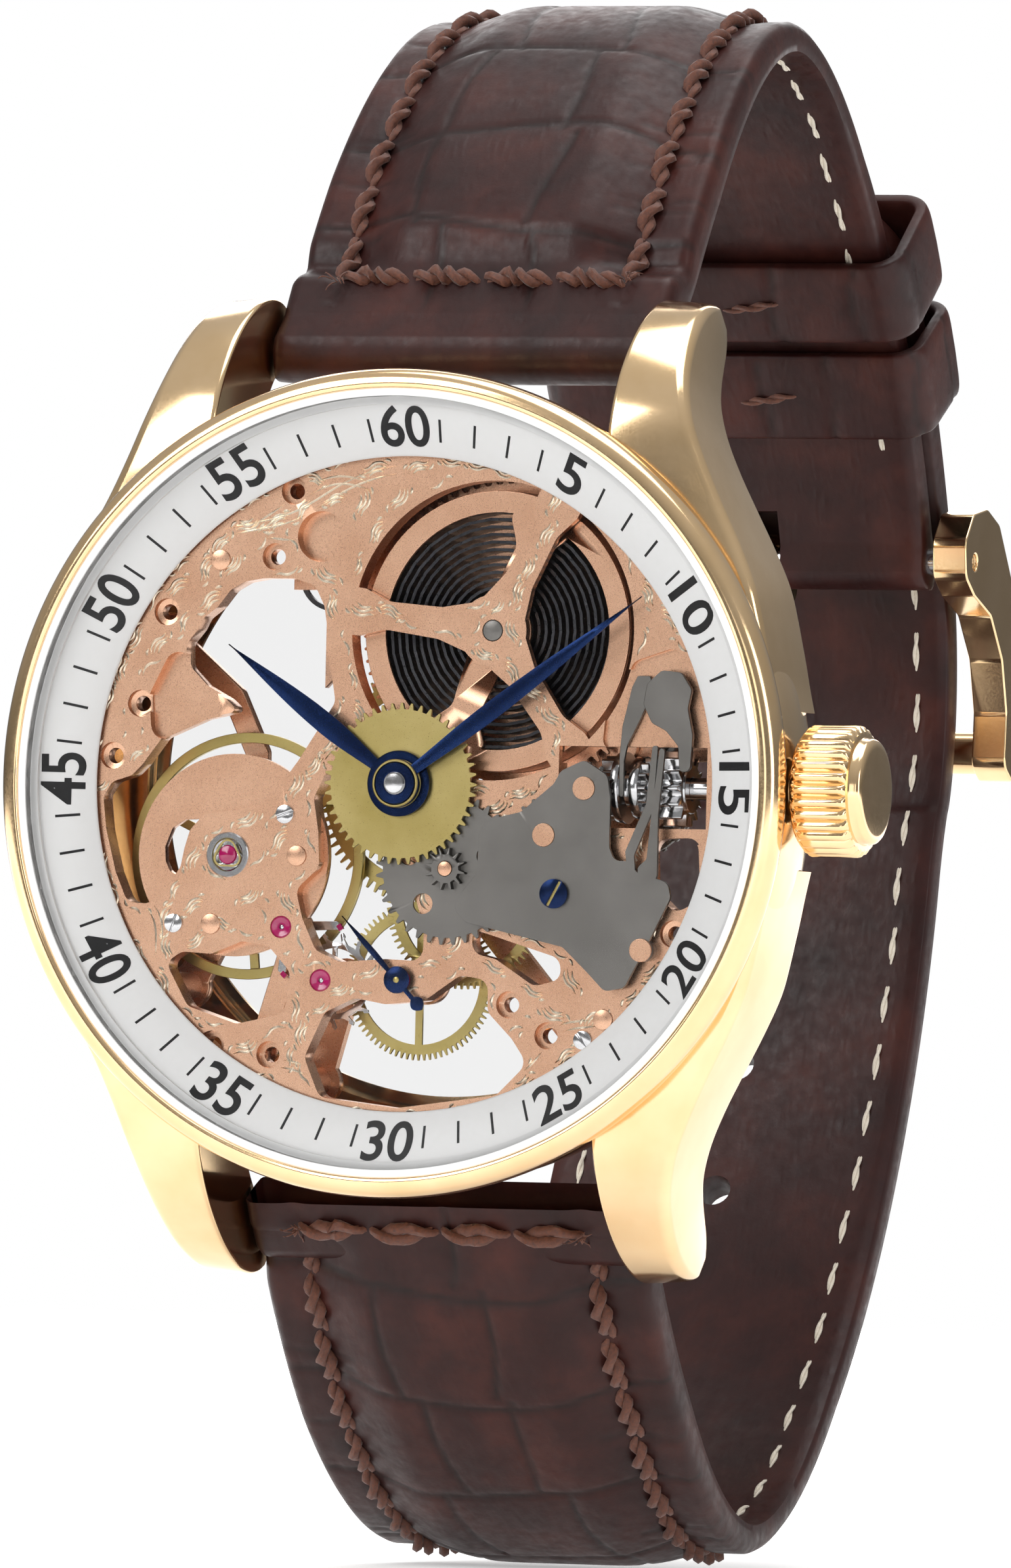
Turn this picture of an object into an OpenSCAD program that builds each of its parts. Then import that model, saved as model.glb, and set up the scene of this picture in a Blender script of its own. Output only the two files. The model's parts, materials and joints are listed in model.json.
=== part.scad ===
// Skeleton wristwatch wound by hand, on a padded strap that is buckled into a loop.
// The head is drawn lying on its back, +Z towards the dial, and stood upright by upright().
// Frame: +Z to 12 o'clock, +X to 3 o'clock, +Y from the case back to the wrist, in millimetres.

/* [Case] */
// Radius of the bezel
bezel_r = 22; // [21.9:0.1:22.3]
// Radius of the case middle under the bezel
case_r = 21.4; // [21.2:0.1:21.6]
// Height of the bezel's top above the case back
case_h = 11.3; // [11.2:0.1:11.6]
// Rise of the crystal's dome above its edge
crystal_dome = 0.9; // [0.6:0.1:1.3]
// Gap between the lugs, which is the strap's width
lug_gap = 22.2; // [22:0.1:22.4]
// Radius of the case back glass
back_glass_r = 17.2; // [16.8:0.1:17.5]

/* [Dial] */
// Inner radius of the white minute ring
ring_in_r = 17.4; // [17.2:0.1:17.6]
// Length of the minute hand
minute_len = 16.9; // [16:0.1:17]
// Length of the hour hand
hour_len = 12.2; // [11:0.1:13]
// Length of the small seconds hand
seconds_len = 4.6; // [4:0.1:4.8]

/* [Crown] */
// Radius of the crown
crown_r = 3.55; // [3.3:0.05:3.7]
// Number of flutes round the crown
crown_flutes = 30; // [24:1:36]

/* [Strap] */
// Width of the strap at the buckle
strap_end_w = 19.8; // [19.4:0.1:20]
// Padded thickness of the strap beside the lugs
strap_thick = 4; // [3.8:0.1:4.2]
// Thickness of the strap at the buckle
strap_thin = 2.3; // [2.1:0.1:2.4]

/* [Hidden] */
$fn = 64;

// Heights above the case back, towards the dial
back_flange_z = 0.25;
back_top_z = 1.4;
bridge_z = 3.6;
bridge_top_z = 4.2;
plate_z = 6.9;
plate_top_z = 8.2;
ring_z = 9.1;
ring_top_z = 10;
// The minute ring slopes down to this height at its inner edge
ring_low_z = 8.55;
stem_z = 6.2;
crystal_edge_z = 10.25;
crystal_rim_z = 11.1;

// Radii inside the case
bore_r = 19.6;
collar_r = 19.28;
movement_r = 18.3;

// Places of the arbors, seen from the dial side
barrel_at = [4.8, 8.2];
centre_at = [0, 0];
third_at = [2.7, -6.4];
fourth_at = [0, -10.4];
escape_at = [-4.5, -10.5];
pallet_at = [-6.8, -7.7];
balance_at = [-9.9, -3.9];
minute_at = [2.65, -4.47];
setting_a_at = [8.2, -2.6];
setting_b_at = [10.4, -0.1];
crown_wheel_at = [11.15, 0];
click_at = [-3.2, 12.6];
lever_at = [15.2, 4.8];
yoke_at = [13.3, 5.3];

// Radial clearance of a pivot in its jewel or bush
pivot_gap = 0.03;

// Radius of the train's jewels
jewel_r = 0.6;

// Pillars between the plate and the bridges
pillar_r = 0.75;
barrel_feet = [[16.2, 5.8], [-5.6, 16.3]];
train_feet = [[9.4, -14.2], [-6, -15.9]];
cock_feet = [[-13.5, -10.9], [-15.1, 7.9]];
pallet_foot = [-8.8, -14.2];
// Screws in the plate: place and direction of the slot
plate_screw_at = [[-6.7, -1.7, 20], [-12.9, -7.6, 70], [10.4, -13.4, 130]];

// Spring bars: [height towards 12, height above the case back] and radii
bar_at = [23.5, -1];
bar_r = 0.9;
bar_pivot_r = 0.5;

// Strap loop: a superellipse in the Y-Z plane, slightly leaning back
loop_y = 22;
loop_z = 0.5;
loop_a = 31.3;
loop_b = 42.3;
loop_power_y = 1.08;
loop_power_z = 1.29;
loop_lean = 0.03;
strap_12_from = 140;
strap_12_to = 26;
strap_6_from = -141;
strap_6_to = 57;
outside_shift = 3.1;

// Buckle, in the Y-Z plane
pin_bar = [49.3, 14.3];
cross_bar = [57, 3.8];
cross_bar_r = 1.2;
arm_in_x = 10.6;
arm_out_x = 12.6;

// ---- Helpers ----

// Stands the head upright: its dial then faces -Y and its 12 o'clock side is up
module upright() rotate([90, 0, 0]) children();

// A flat shape between two heights
module slab(z0, z1) translate([0, 0, z0]) linear_extrude(z1 - z0) children();

// A round disc or post between two heights
module disc(at, r, z0, z1) translate([at.x, at.y, z0]) cylinder(r = r, h = z1 - z0);

// A washer between two heights
module washer(at, r_out, r_in, z0, z1) difference() {
  disc(at, r_out, z0, z1);
  disc(at, r_in, z0 - 1, z1 + 1);
}

function unit(v) = v / norm(v);
function turn(v, a) = [v.x * cos(a) - v.y * sin(a), v.x * sin(a) + v.y * cos(a)];

// The arc that rounds the corner p between its neighbours a and b
function corner(a, p, b, r, n) =
  let (u = unit(a - p), v = unit(b - p), half = acos(max(-0.9999, min(0.9999, u * v))) / 2)
  let (t = min(r / tan(half), 0.46 * min(norm(a - p), norm(b - p))))
  let (c = p + unit(u + v) * t / cos(half), s = p + u * t - c, e = p + v * t - c)
  let (sweep = atan2(s.x * e.y - s.y * e.x, s * e))
  [for (i = [0:n]) c + turn(s, sweep * i / n)];

// An outline with every corner rounded
function rounded(pts, r, n = 5) = let (m = len(pts))
  [for (i = [0:m - 1]) each corner(pts[(i + m - 1) % m], pts[i], pts[(i + 1) % m], r, n)];

// A bar of width w between two points
module strut(a, b, w) {
  along = b - a;
  translate(a) rotate(atan2(along.y, along.x)) translate([0, -w / 2]) square([norm(along), w]);
}

// A gear outline: teeth with straight flanks, wide at the root
module teeth(count, pitch_r, add, ded, tip = 0.2, root = 0.56) {
  step = 360 / count;
  tip_r = pitch_r + add;
  root_r = pitch_r - ded;
  polygon([for (i = [0:count - 1]) each [
    root_r * [cos((i - root / 2) * step), sin((i - root / 2) * step)],
    tip_r * [cos((i - tip / 2) * step), sin((i - tip / 2) * step)],
    tip_r * [cos((i + tip / 2) * step), sin((i + tip / 2) * step)],
    root_r * [cos((i + root / 2) * step), sin((i + root / 2) * step)]]]);
}

// How far a gear at b is turned so that its teeth stand in the gaps of a gear at a
function mesh_phase(a_at, a_phase, n_a, b_at, n_b) =
  let (th = atan2(b_at.y - a_at.y, b_at.x - a_at.x))
  th + 180 + ((th - a_phase) * n_a / 360 + 0.5) * 360 / n_b;

// A toothed wheel with spokes, centred on the origin
module spoked(count, pitch_r, add, ded, rim_r, hub_r, spokes, spoke_w) {
  difference() {
    teeth(count, pitch_r, add, ded);
    circle(rim_r);
  }
  circle(hub_r);
  for (k = [0:spokes - 1])
    rotate(k * 360 / spokes) strut([hub_r / 2, 0], [rim_r + 0.1, 0], spoke_w);
}

// A slotted screw head with its shank
module screw(at, head_r, z0, z1, slot_a) difference() {
  union() {
    disc(at, head_r, z0, z1);
    disc(at, head_r * 0.5, z0 - 0.6, z0);
  }
  translate([at.x, at.y, z1 - 0.12]) rotate(slot_a) linear_extrude(1)
    square([head_r * 3, head_r * 0.22], center = true);
}

// A spiral ribbon outline from r0 to r1
function spiral(r0, r1, turns, t, per_turn) = let (n = turns * per_turn)
  [for (i = [0:n]) (r0 + (r1 - r0) * i / n) * [cos(i * 360 / per_turn), sin(i * 360 / per_turn)],
   for (i = [n:-1:0]) (r0 + t + (r1 - r0) * i / n) * [cos(i * 360 / per_turn), sin(i * 360 / per_turn)]];

// A signed power, for the superellipse
function spow(v, power) = sign(v) * pow(abs(v), power);
function loop_raw(t) = let (z = loop_z + loop_b * spow(sin(t), loop_power_z))
  [loop_y + loop_a * spow(cos(t), loop_power_y) + loop_lean * z, z];
function loop_out(t) = let (d = unit(loop_raw(t + 1) - loop_raw(t - 1))) [d.y, -d.x];
// A point of the loop, moved out by s
function loop_at(t, s) = loop_raw(t) + loop_out(t) * s;
function ease(x) = let (k = max(0, min(1, x))) k * k * (3 - 2 * k);
// How thick the strap is at an angle from its lug end
function thick_at(k) = strap_thick + (strap_thin - strap_thick) * ease(k);

// A profile in the Y-Z plane, given width along X
module along_x(w) rotate([90, 0, 90]) translate([0, 0, -w / 2]) linear_extrude(w) children();

// A round pin along X between two places, its axis at [y, z]
module x_pin(at, r, x0, x1) translate([x0, at.x, at.y]) rotate([0, 90, 0]) cylinder(r = r, h = x1 - x0);

// Cuts the strap's taper: full width at the lugs, narrower towards the buckle
module taper() {
  half = lug_gap / 2 - 0.15;
  end_half = strap_end_w / 2;
  for (side = [-1, 1]) scale([side, 1, 1]) along_taper(half, end_half);
}

module along_taper(half, end_half) translate([0, 0, -60]) linear_extrude(120)
  polygon([[half, -10], [half, 8], [end_half, 36], [end_half, 70], [30, 70], [30, -10]]);

// ---- Case ----

module lug_plan() polygon(rounded([[lug_gap / 2, 12], [lug_gap / 2, 26.4], [13.3, 26.4], [14.2, 25],
  [14.7, 22], [15.7, 18.5], [17.3, 15], [19.6, 10.8], [16, 9]], 0.8, 3));

module lug_side() polygon(rounded([[16.5, 8.9], [19.8, 8.4], [21.8, 7], [23.9, 5], [25.4, 2.6],
  [26.2, 0.2], [26.1, -1.6], [25, -2.6], [23.6, -2.5], [22.2, -0.9], [20.4, 0.9], [17, 1.6]], 1.4, 3));

module lug() intersection() {
  translate([0, 0, -4]) linear_extrude(14) lug_plan();
  rotate([90, 0, 90]) linear_extrude(22) lug_side();
}

module case_middle() color("gold") upright() difference() {
  union() {
    rotate_extrude($fn = 160) polygon([[bore_r, back_top_z], [20.3, back_top_z], [21, 3], [case_r, 5.6],
      [case_r, 8.5], [21.2, ring_z], [bore_r, ring_z]]);
    for (sx = [0, 1], sy = [0, 1]) mirror([sx, 0, 0]) mirror([0, sy, 0]) lug();
  }
  disc(centre_at, bore_r, -6, 14);
  for (sx = [-1, 1], sy = [-1, 1])
    translate([sx * (lug_gap / 2 - 0.5), sy * bar_at.x, bar_at.y]) rotate([0, sx * 90, 0])
      cylinder(r = bar_pivot_r, h = 2.2);
  translate([15, 0, stem_z]) rotate([0, 90, 0]) cylinder(r = 1.55, h = 10);
}

module bezel() color("gold") upright() rotate_extrude($fn = 160)
  polygon([[20.9, ring_z], [bezel_r - 0.5, ring_z], [bezel_r - 0.1, 9.4], [bezel_r, 9.8], [bezel_r, 10.2],
    [bezel_r - 0.12, 10.65], [bezel_r - 0.35, 11], [bezel_r - 0.65, case_h - 0.08],
    [bezel_r - 0.85, case_h], [20.95, case_h - 0.06], [20.9, case_h - 0.2]]);

// Half section of a shallow dome between two heights at its edge
function dome(r, z, rise, n = 12) = [for (i = [0:n]) [r * i / n, z + rise * (1 - pow(i / n, 2))]];

module crystal() color("lightcyan", 0.3) upright() rotate_extrude($fn = 120)
  polygon(concat(dome(20.45, crystal_edge_z, 0.6), [[20.5, crystal_edge_z], [20.5, crystal_rim_z - 0.15],
    [20.35, crystal_rim_z]], [for (p = dome(20.3, crystal_rim_z, crystal_dome)) [20.3 - p.x,
    crystal_rim_z + crystal_dome * (1 - pow((20.3 - p.x) / 20.3, 2))]]));

module gaskets() color("whitesmoke") upright() {
  rotate_extrude($fn = 120) polygon([[20.1, ring_top_z], [20.9, ring_top_z], [20.9, crystal_rim_z],
    [20.5, crystal_rim_z], [20.5, crystal_edge_z], [20.1, crystal_edge_z]]);
  washer(centre_at, bore_r, collar_r, 2, 2.5, $fn = 120);
}

module minute_ring() color("white") upright() rotate_extrude($fn = 160)
  polygon([[ring_in_r, ring_low_z - 0.15], [bore_r + 0.1, ring_z + 0.25], [bore_r + 0.1, ring_z],
    [20.85, ring_z], [20.85, ring_top_z], [20.2, ring_top_z], [ring_in_r, ring_low_z]]);

module movement_ring() color("silver") upright() difference() {
  union() {
    washer(centre_at, bore_r - 0.05, movement_r + 0.05, bridge_z, plate_top_z, $fn = 120);
    washer(centre_at, bore_r - 0.05, 17.95, plate_top_z, plate_top_z + 0.2, $fn = 120);
  }
  translate([15, 0, stem_z]) rotate([0, 90, 0]) cylinder(r = 1.3, h = 10);
}

module case_back() color("gold") upright() rotate_extrude($fn = 120)
  polygon([[back_glass_r - 0.7, 0], [19.3, 0], [19.9, 0.4], [20.3, back_top_z], [collar_r, back_top_z],
    [collar_r, 2.9], [18.9, 2.9], [18.9, 1.35], [back_glass_r + 0.05, 1.35], [back_glass_r + 0.05,
    back_flange_z], [back_glass_r - 0.7, back_flange_z]]);

module back_crystal() color("lightcyan", 0.3) upright()
  disc(centre_at, back_glass_r, back_flange_z, 1.3, $fn = 120);

module crown_tube() color("gold") upright() translate([19.7, 0, stem_z]) rotate([0, 90, 0])
  difference() {
    union() {
      cylinder(r = 1.55, h = 1.9);
      cylinder(r = 1.35, h = 3.4);
    }
    translate([0, 0, -1]) cylinder(r = 0.75, h = 8);
  }

module spring_bars() color("silver") for (side = [-1, 1]) {
  at = [-bar_at.y, side * bar_at.x];
  x_pin(at, bar_r, 1 - lug_gap / 2, lug_gap / 2 - 1);
  x_pin(at, bar_pivot_r, -lug_gap / 2 - 1.2, lug_gap / 2 + 1.2);
}

// ---- Movement: plates and bridges ----

balance_window = [[-10.8, 9.3], [-10.1, 10.2], [-9.3, 10.65], [-8.2, 10.85], [-6.5, 10.85], [-5.3, 10.5],
  [-4.75, 9.4], [-4.55, 8.2], [-4.6, 7.1], [-4.2, 5.5], [-4, 4.3], [-4.9, 2.9], [-6, 1.2], [-6.9, 0],
  [-8, -1.2], [-9.4, -1.5], [-11.3, -1.75], [-12.1, -2.6], [-12.4, -3.6], [-12.6, -4.6], [-13.3, -5.6],
  [-14.4, -6.6], [-15.6, -6.5], [-16.3, -4.9], [-16.9, -2.6], [-17.1, -0.9], [-16.6, -0.1],
  [-15.5, 0.25], [-14.9, 0.85], [-13.8, 2.3], [-11.5, 3.3], [-9.5, 3.75], [-10.2, 4.4], [-11.5, 5.1],
  [-12.5, 6.1], [-12.55, 7.3], [-11.9, 8.1], [-11.6, 8.7]];
balance_slot = [[-11.6, -2], [-12.7, -2.05], [-13.4, -2.5], [-13.8, -3.5], [-13.75, -4.3], [-13.5, -4.8],
  [-13, -5.1], [-12.2, -4.6], [-11.9, -3.6], [-11.7, -2.7]];
lower_left_window = [[-13.3, -9.7], [-12.4, -9.1], [-10.7, -9.2], [-9, -8.5], [-7.5, -8.7], [-6.2, -10.1],
  [-6.5, -12.3], [-9.2, -12.9], [-12, -12]];
middle_window = [[-4.2, 1], [-5.1, -0.8], [-4.8, -2.6], [-4.7, -4.5], [-6, -5.7], [-5.6, -7.2],
  [-4.8, -8.9], [-3.4, -9.5], [-0.8, -9.3], [1.3, -9.4], [1.3, -7.6], [0.6, -5.4], [-0.6, -3.6],
  [-2.4, -2.2], [-3, 0]];
bottom_window = [[-4.2, -12.2], [-2.5, -11.4], [-0.8, -11.7], [1.4, -11.5], [3.4, -10.1], [5, -10.3],
  [5, -12], [6.4, -13.4], [7.3, -14.7], [5.6, -16.4], [0, -17.2], [-4.4, -16.7], [-5.3, -14.6]];
right_window = [[14, -2.7], [16.6, -2.6], [16.8, -5.9], [15.4, -6.6], [14.1, -5.4]];
small_window = [[4, -7.6], [7, -8.5], [9, -9.1], [9.1, -10.2], [7.6, -10.6], [5.4, -9.2], [4.1, -8.9]];
rim_holes = [[-6.6, 15.5], [-7.6, 12], [-13.7, 9], [-15.1, 4.1], [-16.6, 1.3], [-7.3, -14.5],
  [-10.6, -14], [6.2, -11.6], [8.4, -13.2], [15.3, -7.7]];
barrel_window_r = 7.95;
arm_angles = [173, 62, -55];

// The dial side plate, cut away round the barrel, the balance and the train
module main_plate() color("rosybrown") upright() difference() {
  union() {
    slab(plate_z, plate_top_z) difference() {
      circle(movement_r, $fn = 160);
      translate(barrel_at) circle(barrel_window_r, $fn = 120);
      for (w = [balance_window, lower_left_window, middle_window, bottom_window, right_window,
        small_window]) polygon(rounded(w, 0.7));
    }
    slab(plate_top_z - 0.55, plate_top_z) translate(barrel_at) {
      circle(1.9);
      for (a = arm_angles) polygon(rounded([turn([0, 1.7], a), turn([3, 0.85], a), turn([6, 0.75], a),
        turn([8.6, 1.7], a), turn([8.6, -1.7], a), turn([6, -0.75], a), turn([3, -0.85], a),
        turn([0, -1.7], a)], 1.2, 3));
    }
    // thin round web over the balance
    slab(plate_z, plate_z + 0.5) difference() {
      translate(balance_at) circle(5.4, $fn = 120);
      polygon(rounded(balance_slot, 0.3));
    }
    // pillars that carry the bridges
    for (at = concat(barrel_feet, train_feet, cock_feet)) disc(at, pillar_r, bridge_top_z, plate_z);
    disc(pallet_foot, pillar_r, 5.7, plate_z);
    disc(minute_at, 0.38, plate_top_z, 8.9);
    // blocks that the stem turns in
    translate([7.2, -1.2, 5.2]) cube([1.2, 2, plate_z - 5.1]);
    translate([17, -1.1, 5.2]) cube([1.1, 2.2, plate_z - 5.1]);
  }
  translate([0, 0, stem_z]) rotate([0, 90, 0]) {
    translate([0, 0, 6]) cylinder(r = 0.4 + pivot_gap, h = 3);
    translate([0, 0, 16]) cylinder(r = 0.62 + pivot_gap, h = 4);
  }
  for (at = rim_holes) {
    disc(at, 0.42, 0, 10);
    disc(at, 0.72, plate_top_z - 0.45, 10);
  }
  disc(pallet_foot, 0.35, 5.6, 6.1);
  for (s = plate_screw_at) disc([s[0], s[1]], 0.27, plate_top_z - 0.65, 10);
  disc([-5, 13.1], 1.35, plate_top_z - 0.8, 10);
  // slot of the stem and its pinions, and the recess of the keyless works
  translate([8.7, -2.15, plate_z - 1]) cube([8.2, 4.3, 3]);
  slab(plate_top_z - 0.3, 10) polygon(rounded([[12.6, 1], [12.6, 6.6], [15, 7.4], [16.6, 6.2],
    [17.2, 1], [17.2, -3], [14, -3]], 0.7));
  slab(plate_top_z - 0.3, 10) polygon(rounded([[11.1, 2], [11.3, 4.2], [12.2, 6.2], [14.2, 6.4],
    [14.4, 4.6], [13.6, 2]], 0.5));
  // recess beside the balance
  translate([0, 0, plate_top_z - 0.6]) linear_extrude(2) polygon(rounded([[-14.4, 2], [-10.4, 3],
    [-11, 6.4], [-13.4, 7], [-14.6, 4.6]], 0.8));
  disc(centre_at, 0.62, 0, 10);
  disc(barrel_at, 0.58, 0, 10);
  for (at = [third_at, fourth_at, escape_at, pallet_at]) disc(at, jewel_r, 0, 10);
  disc(balance_at, 1.1, 0, 10);
  disc(setting_a_at, 0.42, 0, 10);
  disc(lever_at, 0.45, 0, 10);
  disc(yoke_at, 0.45, 0, 10);
}

// Back bridge over the barrel, with the core that the crown wheel turns on
module barrel_bridge() color("rosybrown") upright() difference() {
  union() {
    slab(bridge_z, bridge_top_z) {
      difference() {
        intersection() {
          circle(18.1, $fn = 120);
          translate([-8, 1.5]) square([26, 17]);
        }
        translate(barrel_at) circle(6.6);
        circle(8);
        translate(crown_wheel_at) circle(4);
        translate([-5, 1]) square([16.15, 8]);
        translate([-9, 1]) square([2.9, 9.4]);
      }
      translate(barrel_at) {
        circle(2);
        for (a = [30, 150, 270]) rotate(a) strut([0, 0], [7.2, 0], 1.5);
      }
      translate(crown_wheel_at) circle(2.7);
    }
    disc(crown_wheel_at, 0.42, 3.05, bridge_z);
    disc(click_at, 0.32, 3.05, bridge_z);
    // arm over the crown wheel's rim that holds its core
    disc(core_arm[0], 0.5, bridge_top_z, 4.7);
    disc(core_arm[1], 0.5, bridge_top_z, 4.7);
    slab(4.3, 4.7) strut(core_arm[0], core_arm[1], 1);
  }
  disc(barrel_at, 0.78, 0, 10);
  for (at = barrel_feet) disc(at, 0.55, 0, 10);
}

core_arm = [crown_wheel_at + [0.1, 2.05], crown_wheel_at + [0.95, 4.8]];

// Back bridge over the third, fourth and escape wheels
module train_bridge() color("rosybrown") upright() difference() {
  slab(bridge_z, bridge_top_z) intersection() {
    circle(18.1, $fn = 120);
    union() {
      for (leg = [[centre_at, third_at], [third_at, fourth_at], [fourth_at, escape_at],
        [third_at, train_feet[0]], [escape_at, train_feet[1]], [centre_at, train_knee],
        [train_knee, train_feet[0]]]) strut(leg[0], leg[1], 1.5);
      for (at = concat(train_feet, [centre_at, third_at, fourth_at, escape_at, train_knee]))
        translate(at) circle(1.25);
    }
  }
  disc(centre_at, 0.38 + pivot_gap, 0, 10);
  for (at = [third_at, fourth_at, escape_at]) disc(at, jewel_r, 0, 10);
  for (at = train_feet) disc(at, 0.55, 0, 10);
}

train_knee = [12.2, -8.6];

cock_bend = [[-9.9, 1.6], [-11.3, 4.6]];

module balance_cock() color("rosybrown") upright() difference() {
  union() {
    slab(bridge_z, bridge_top_z) intersection() {
      circle(18.1, $fn = 120);
      union() {
        translate(balance_at) circle(2.4);
        for (at = cock_feet) translate(at) circle(1.2);
        strut(balance_at, cock_feet[0], 1.8);
        for (leg = [[balance_at, cock_bend[0]], cock_bend, [cock_bend[1], cock_feet[1]]])
          strut(leg[0], leg[1], 1.3);
        for (at = cock_bend) translate(at) circle(0.65);
      }
    }
    disc(balance_at, 0.77, 3.25, bridge_z);
  }
  disc(balance_at, 0.48, 0, 10);
  for (at = cock_feet) disc(at, 0.55, 0, 10);
}

module pallet_bridge() color("rosybrown") upright() difference() {
  slab(5.42, 5.7) union() {
    translate(pallet_at) circle(0.9);
    strut(pallet_at, pallet_foot, 1.3);
    translate(pallet_foot) circle(1);
  }
  disc(pallet_at, 0.12 + pivot_gap, 0, 10);
  disc(pallet_foot, 0.35, 0, 10);
}

module cover_plate() color("slategray") upright() difference() {
  union() {
    slab(8.75, 8.98) polygon(rounded([[9.1, 0.8], [10.4, 1.4], [11.7, 0.6], [11.9, -0.6], [11.9, -3.2],
      [12.2, -3.9], [12.9, -3.9], [13.5, -4.5], [15.2, -5], [15.4, -5.8], [14.1, -8.4], [12.9, -10.6],
      [11.8, -10.8], [10.8, -9.8], [9.4, -8.5], [4, -7.3], [3.2, -6.6], [3.6, -5.8], [4.5, -4.7],
      [4.6, -2.4], [5.2, -1.8], [6.9, -1.4], [8.7, 0.1]], 0.5));
    // the two curved spring arms of the keyless works
    slab(8.75, 8.98) {
      polygon(rounded([[12.9, -4.2], [12.8, -3.4], [13.9, -0.9], [14.2, 2.2], [14.5, 2.2], [14.3, -1.2],
        [13.3, -3.6], [13.4, -4.6]], 0.25, 3));
      polygon(rounded([[13.3, -4.4], [14.6, -5.2], [14.6, -1.4], [14.9, 2], [14.6, 2.1], [14.2, -1.6],
        [14, -3.8]], 0.3, 3));
    }
    disc([13.8, -8.6], 0.6, plate_top_z, 8.75);
    disc([8.9, -5.7], 0.95, plate_top_z, 8.75);
  }
  disc([8.9, -5.7], 0.42, 0, 10);
  for (at = [setting_a_at, setting_b_at]) disc(at, 0.62, 0, 10);
}

module cover_screw() color("midnightblue") upright() screw([8.9, -5.7], 0.78, 8.98, 9.2, 62);

// Round posts and studs of the plate that end flush or a little proud
module plate_pins() color("rosybrown") upright() {
  disc(setting_a_at, 0.42, plate_z, 9);
  disc(setting_b_at, 0.42, 8.22, 9);
  for (at = [setting_a_at, setting_b_at]) disc(at, 0.62, 8.8, 9.05);
  disc([13.8, -8.6], 0.62, 8.98, 9.1);
  for (at = [[-6, -3.9], [-10.8, -7.6], [-10.7, 11.8], [11.5, -12.3]]) disc(at, 0.55, plate_top_z, 8.28);
}

module plate_screws() color("silver") upright() {
  for (s = plate_screw_at) screw([s[0], s[1]], 0.5, plate_top_z, 8.34, s[2]);
  mirror([0, 0, 1]) {
    for (at = concat(barrel_feet, train_feet, cock_feet)) screw(at, 0.95, -bridge_z, -3.3, 35);
    screw(pallet_foot, 0.6, -5.42, -5.22, 10);
  }
}

module jewel(at, hole_r, z0, z1) washer(at, jewel_r, hole_r, z0, z1);

module jewels() color("crimson") upright() {
  for (at = [third_at, escape_at, pallet_at]) jewel(at, 0.12 + pivot_gap, 7.7, 8.12);
  jewel(fourth_at, 0.16 + pivot_gap, 7.7, 8.12);
  for (at = [third_at, fourth_at, escape_at]) jewel(at, 0.12 + pivot_gap, 3.68, 4.1);
  washer(balance_at, 0.5, 0.1 + pivot_gap, 7.75, 8);
  disc(balance_at, 0.48, 8, 8.12);
  washer(balance_at, 0.48, 0.1 + pivot_gap, 3.75, 4.05);
}

module shock_setting() color("goldenrod") upright() {
  difference() {
    washer(balance_at, 1.1, 0.5, 7.3, 8.3);
    disc(balance_at, 0.85, 8.1, 9);
  }
  slab(8.12, 8.22) translate(balance_at) for (a = [90, 210, 330])
    rotate(a) difference() {
      translate([0.5, 0]) circle(0.4);
      translate([0.5, 0]) circle(0.24);
      translate([-0.2, -1]) square([0.45, 2]);
    }
}

module regulator() color("silver") upright() slab(3.35, 3.55) difference() {
  union() {
    translate(balance_at) circle(1.2);
    translate(balance_at) rotate(-60) strut([0, 0], [3.6, 0], 0.5);
  }
  translate(balance_at) circle(0.77 + pivot_gap);
}

module click_spring() color("silver") upright() slab(3.3, bridge_z) difference() {
  translate([-6, 11.2]) circle(1.9);
  translate([-6, 11.2]) circle(1.65);
  translate([-6, 11.2]) rotate(20) square([3, 3]);
}

// ---- Movement: barrel and winding ----

barrel_teeth = 78;
barrel_pitch_r = 8.2344;
barrel_rest_a = mesh_phase(centre_at, 0, 12, barrel_at, barrel_teeth);

module barrel_drum() color("rosybrown") upright() translate(barrel_at) difference() {
  union() {
    slab(4.82, 5.1) rotate(barrel_rest_a) teeth(barrel_teeth, barrel_pitch_r, 0.2, 0.27);
    disc(centre_at, 7.45, 5.05, 7.25, $fn = 120);
  }
  disc(centre_at, 7, 5.3, 12, $fn = 120);
  disc(centre_at, 0.95, 0, 12);
}

module barrel_cover() color("rosybrown") upright() translate(barrel_at) slab(7.27, 7.5) {
  difference() {
    circle(7.45, $fn = 120);
    circle(6.3, $fn = 120);
  }
  difference() {
    union() {
      circle(1.9);
      for (a = [68, 248]) rotate(a) polygon(rounded([[0, 1.2], [4.6, 0.8], [6.6, 2.2], [6.6, -2.2],
        [4.6, -0.8], [0, -1.2]], 0.8));
    }
    circle(0.95);
  }
}

module mainspring() color("dimgray") upright() translate(barrel_at) slab(5.45, 7.15) {
  polygon(spiral(1.35, 6.6, 13, 0.16, 30));
  // hook that holds its outer end in the drum
  translate([6.65, -0.3]) square([0.34, 0.6]);
}

module barrel_arbor() color("silver") upright() {
  disc(barrel_at, 0.55, 7.65, plate_top_z + 0.02);
  disc(barrel_at, 0.9, 5.05, 7.65);
  disc(barrel_at, 1.2, 5.45, 7.15);
  disc(barrel_at, 0.75, 2.95, 5.05);
}

winding_module = norm(crown_wheel_at - barrel_at) / 38;
crown_wheel_teeth = 26;
ratchet_teeth = 50;
// Direction from the ratchet wheel to the crown wheel
winding_a = atan2(crown_wheel_at.y - barrel_at.y, crown_wheel_at.x - barrel_at.x);

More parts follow.
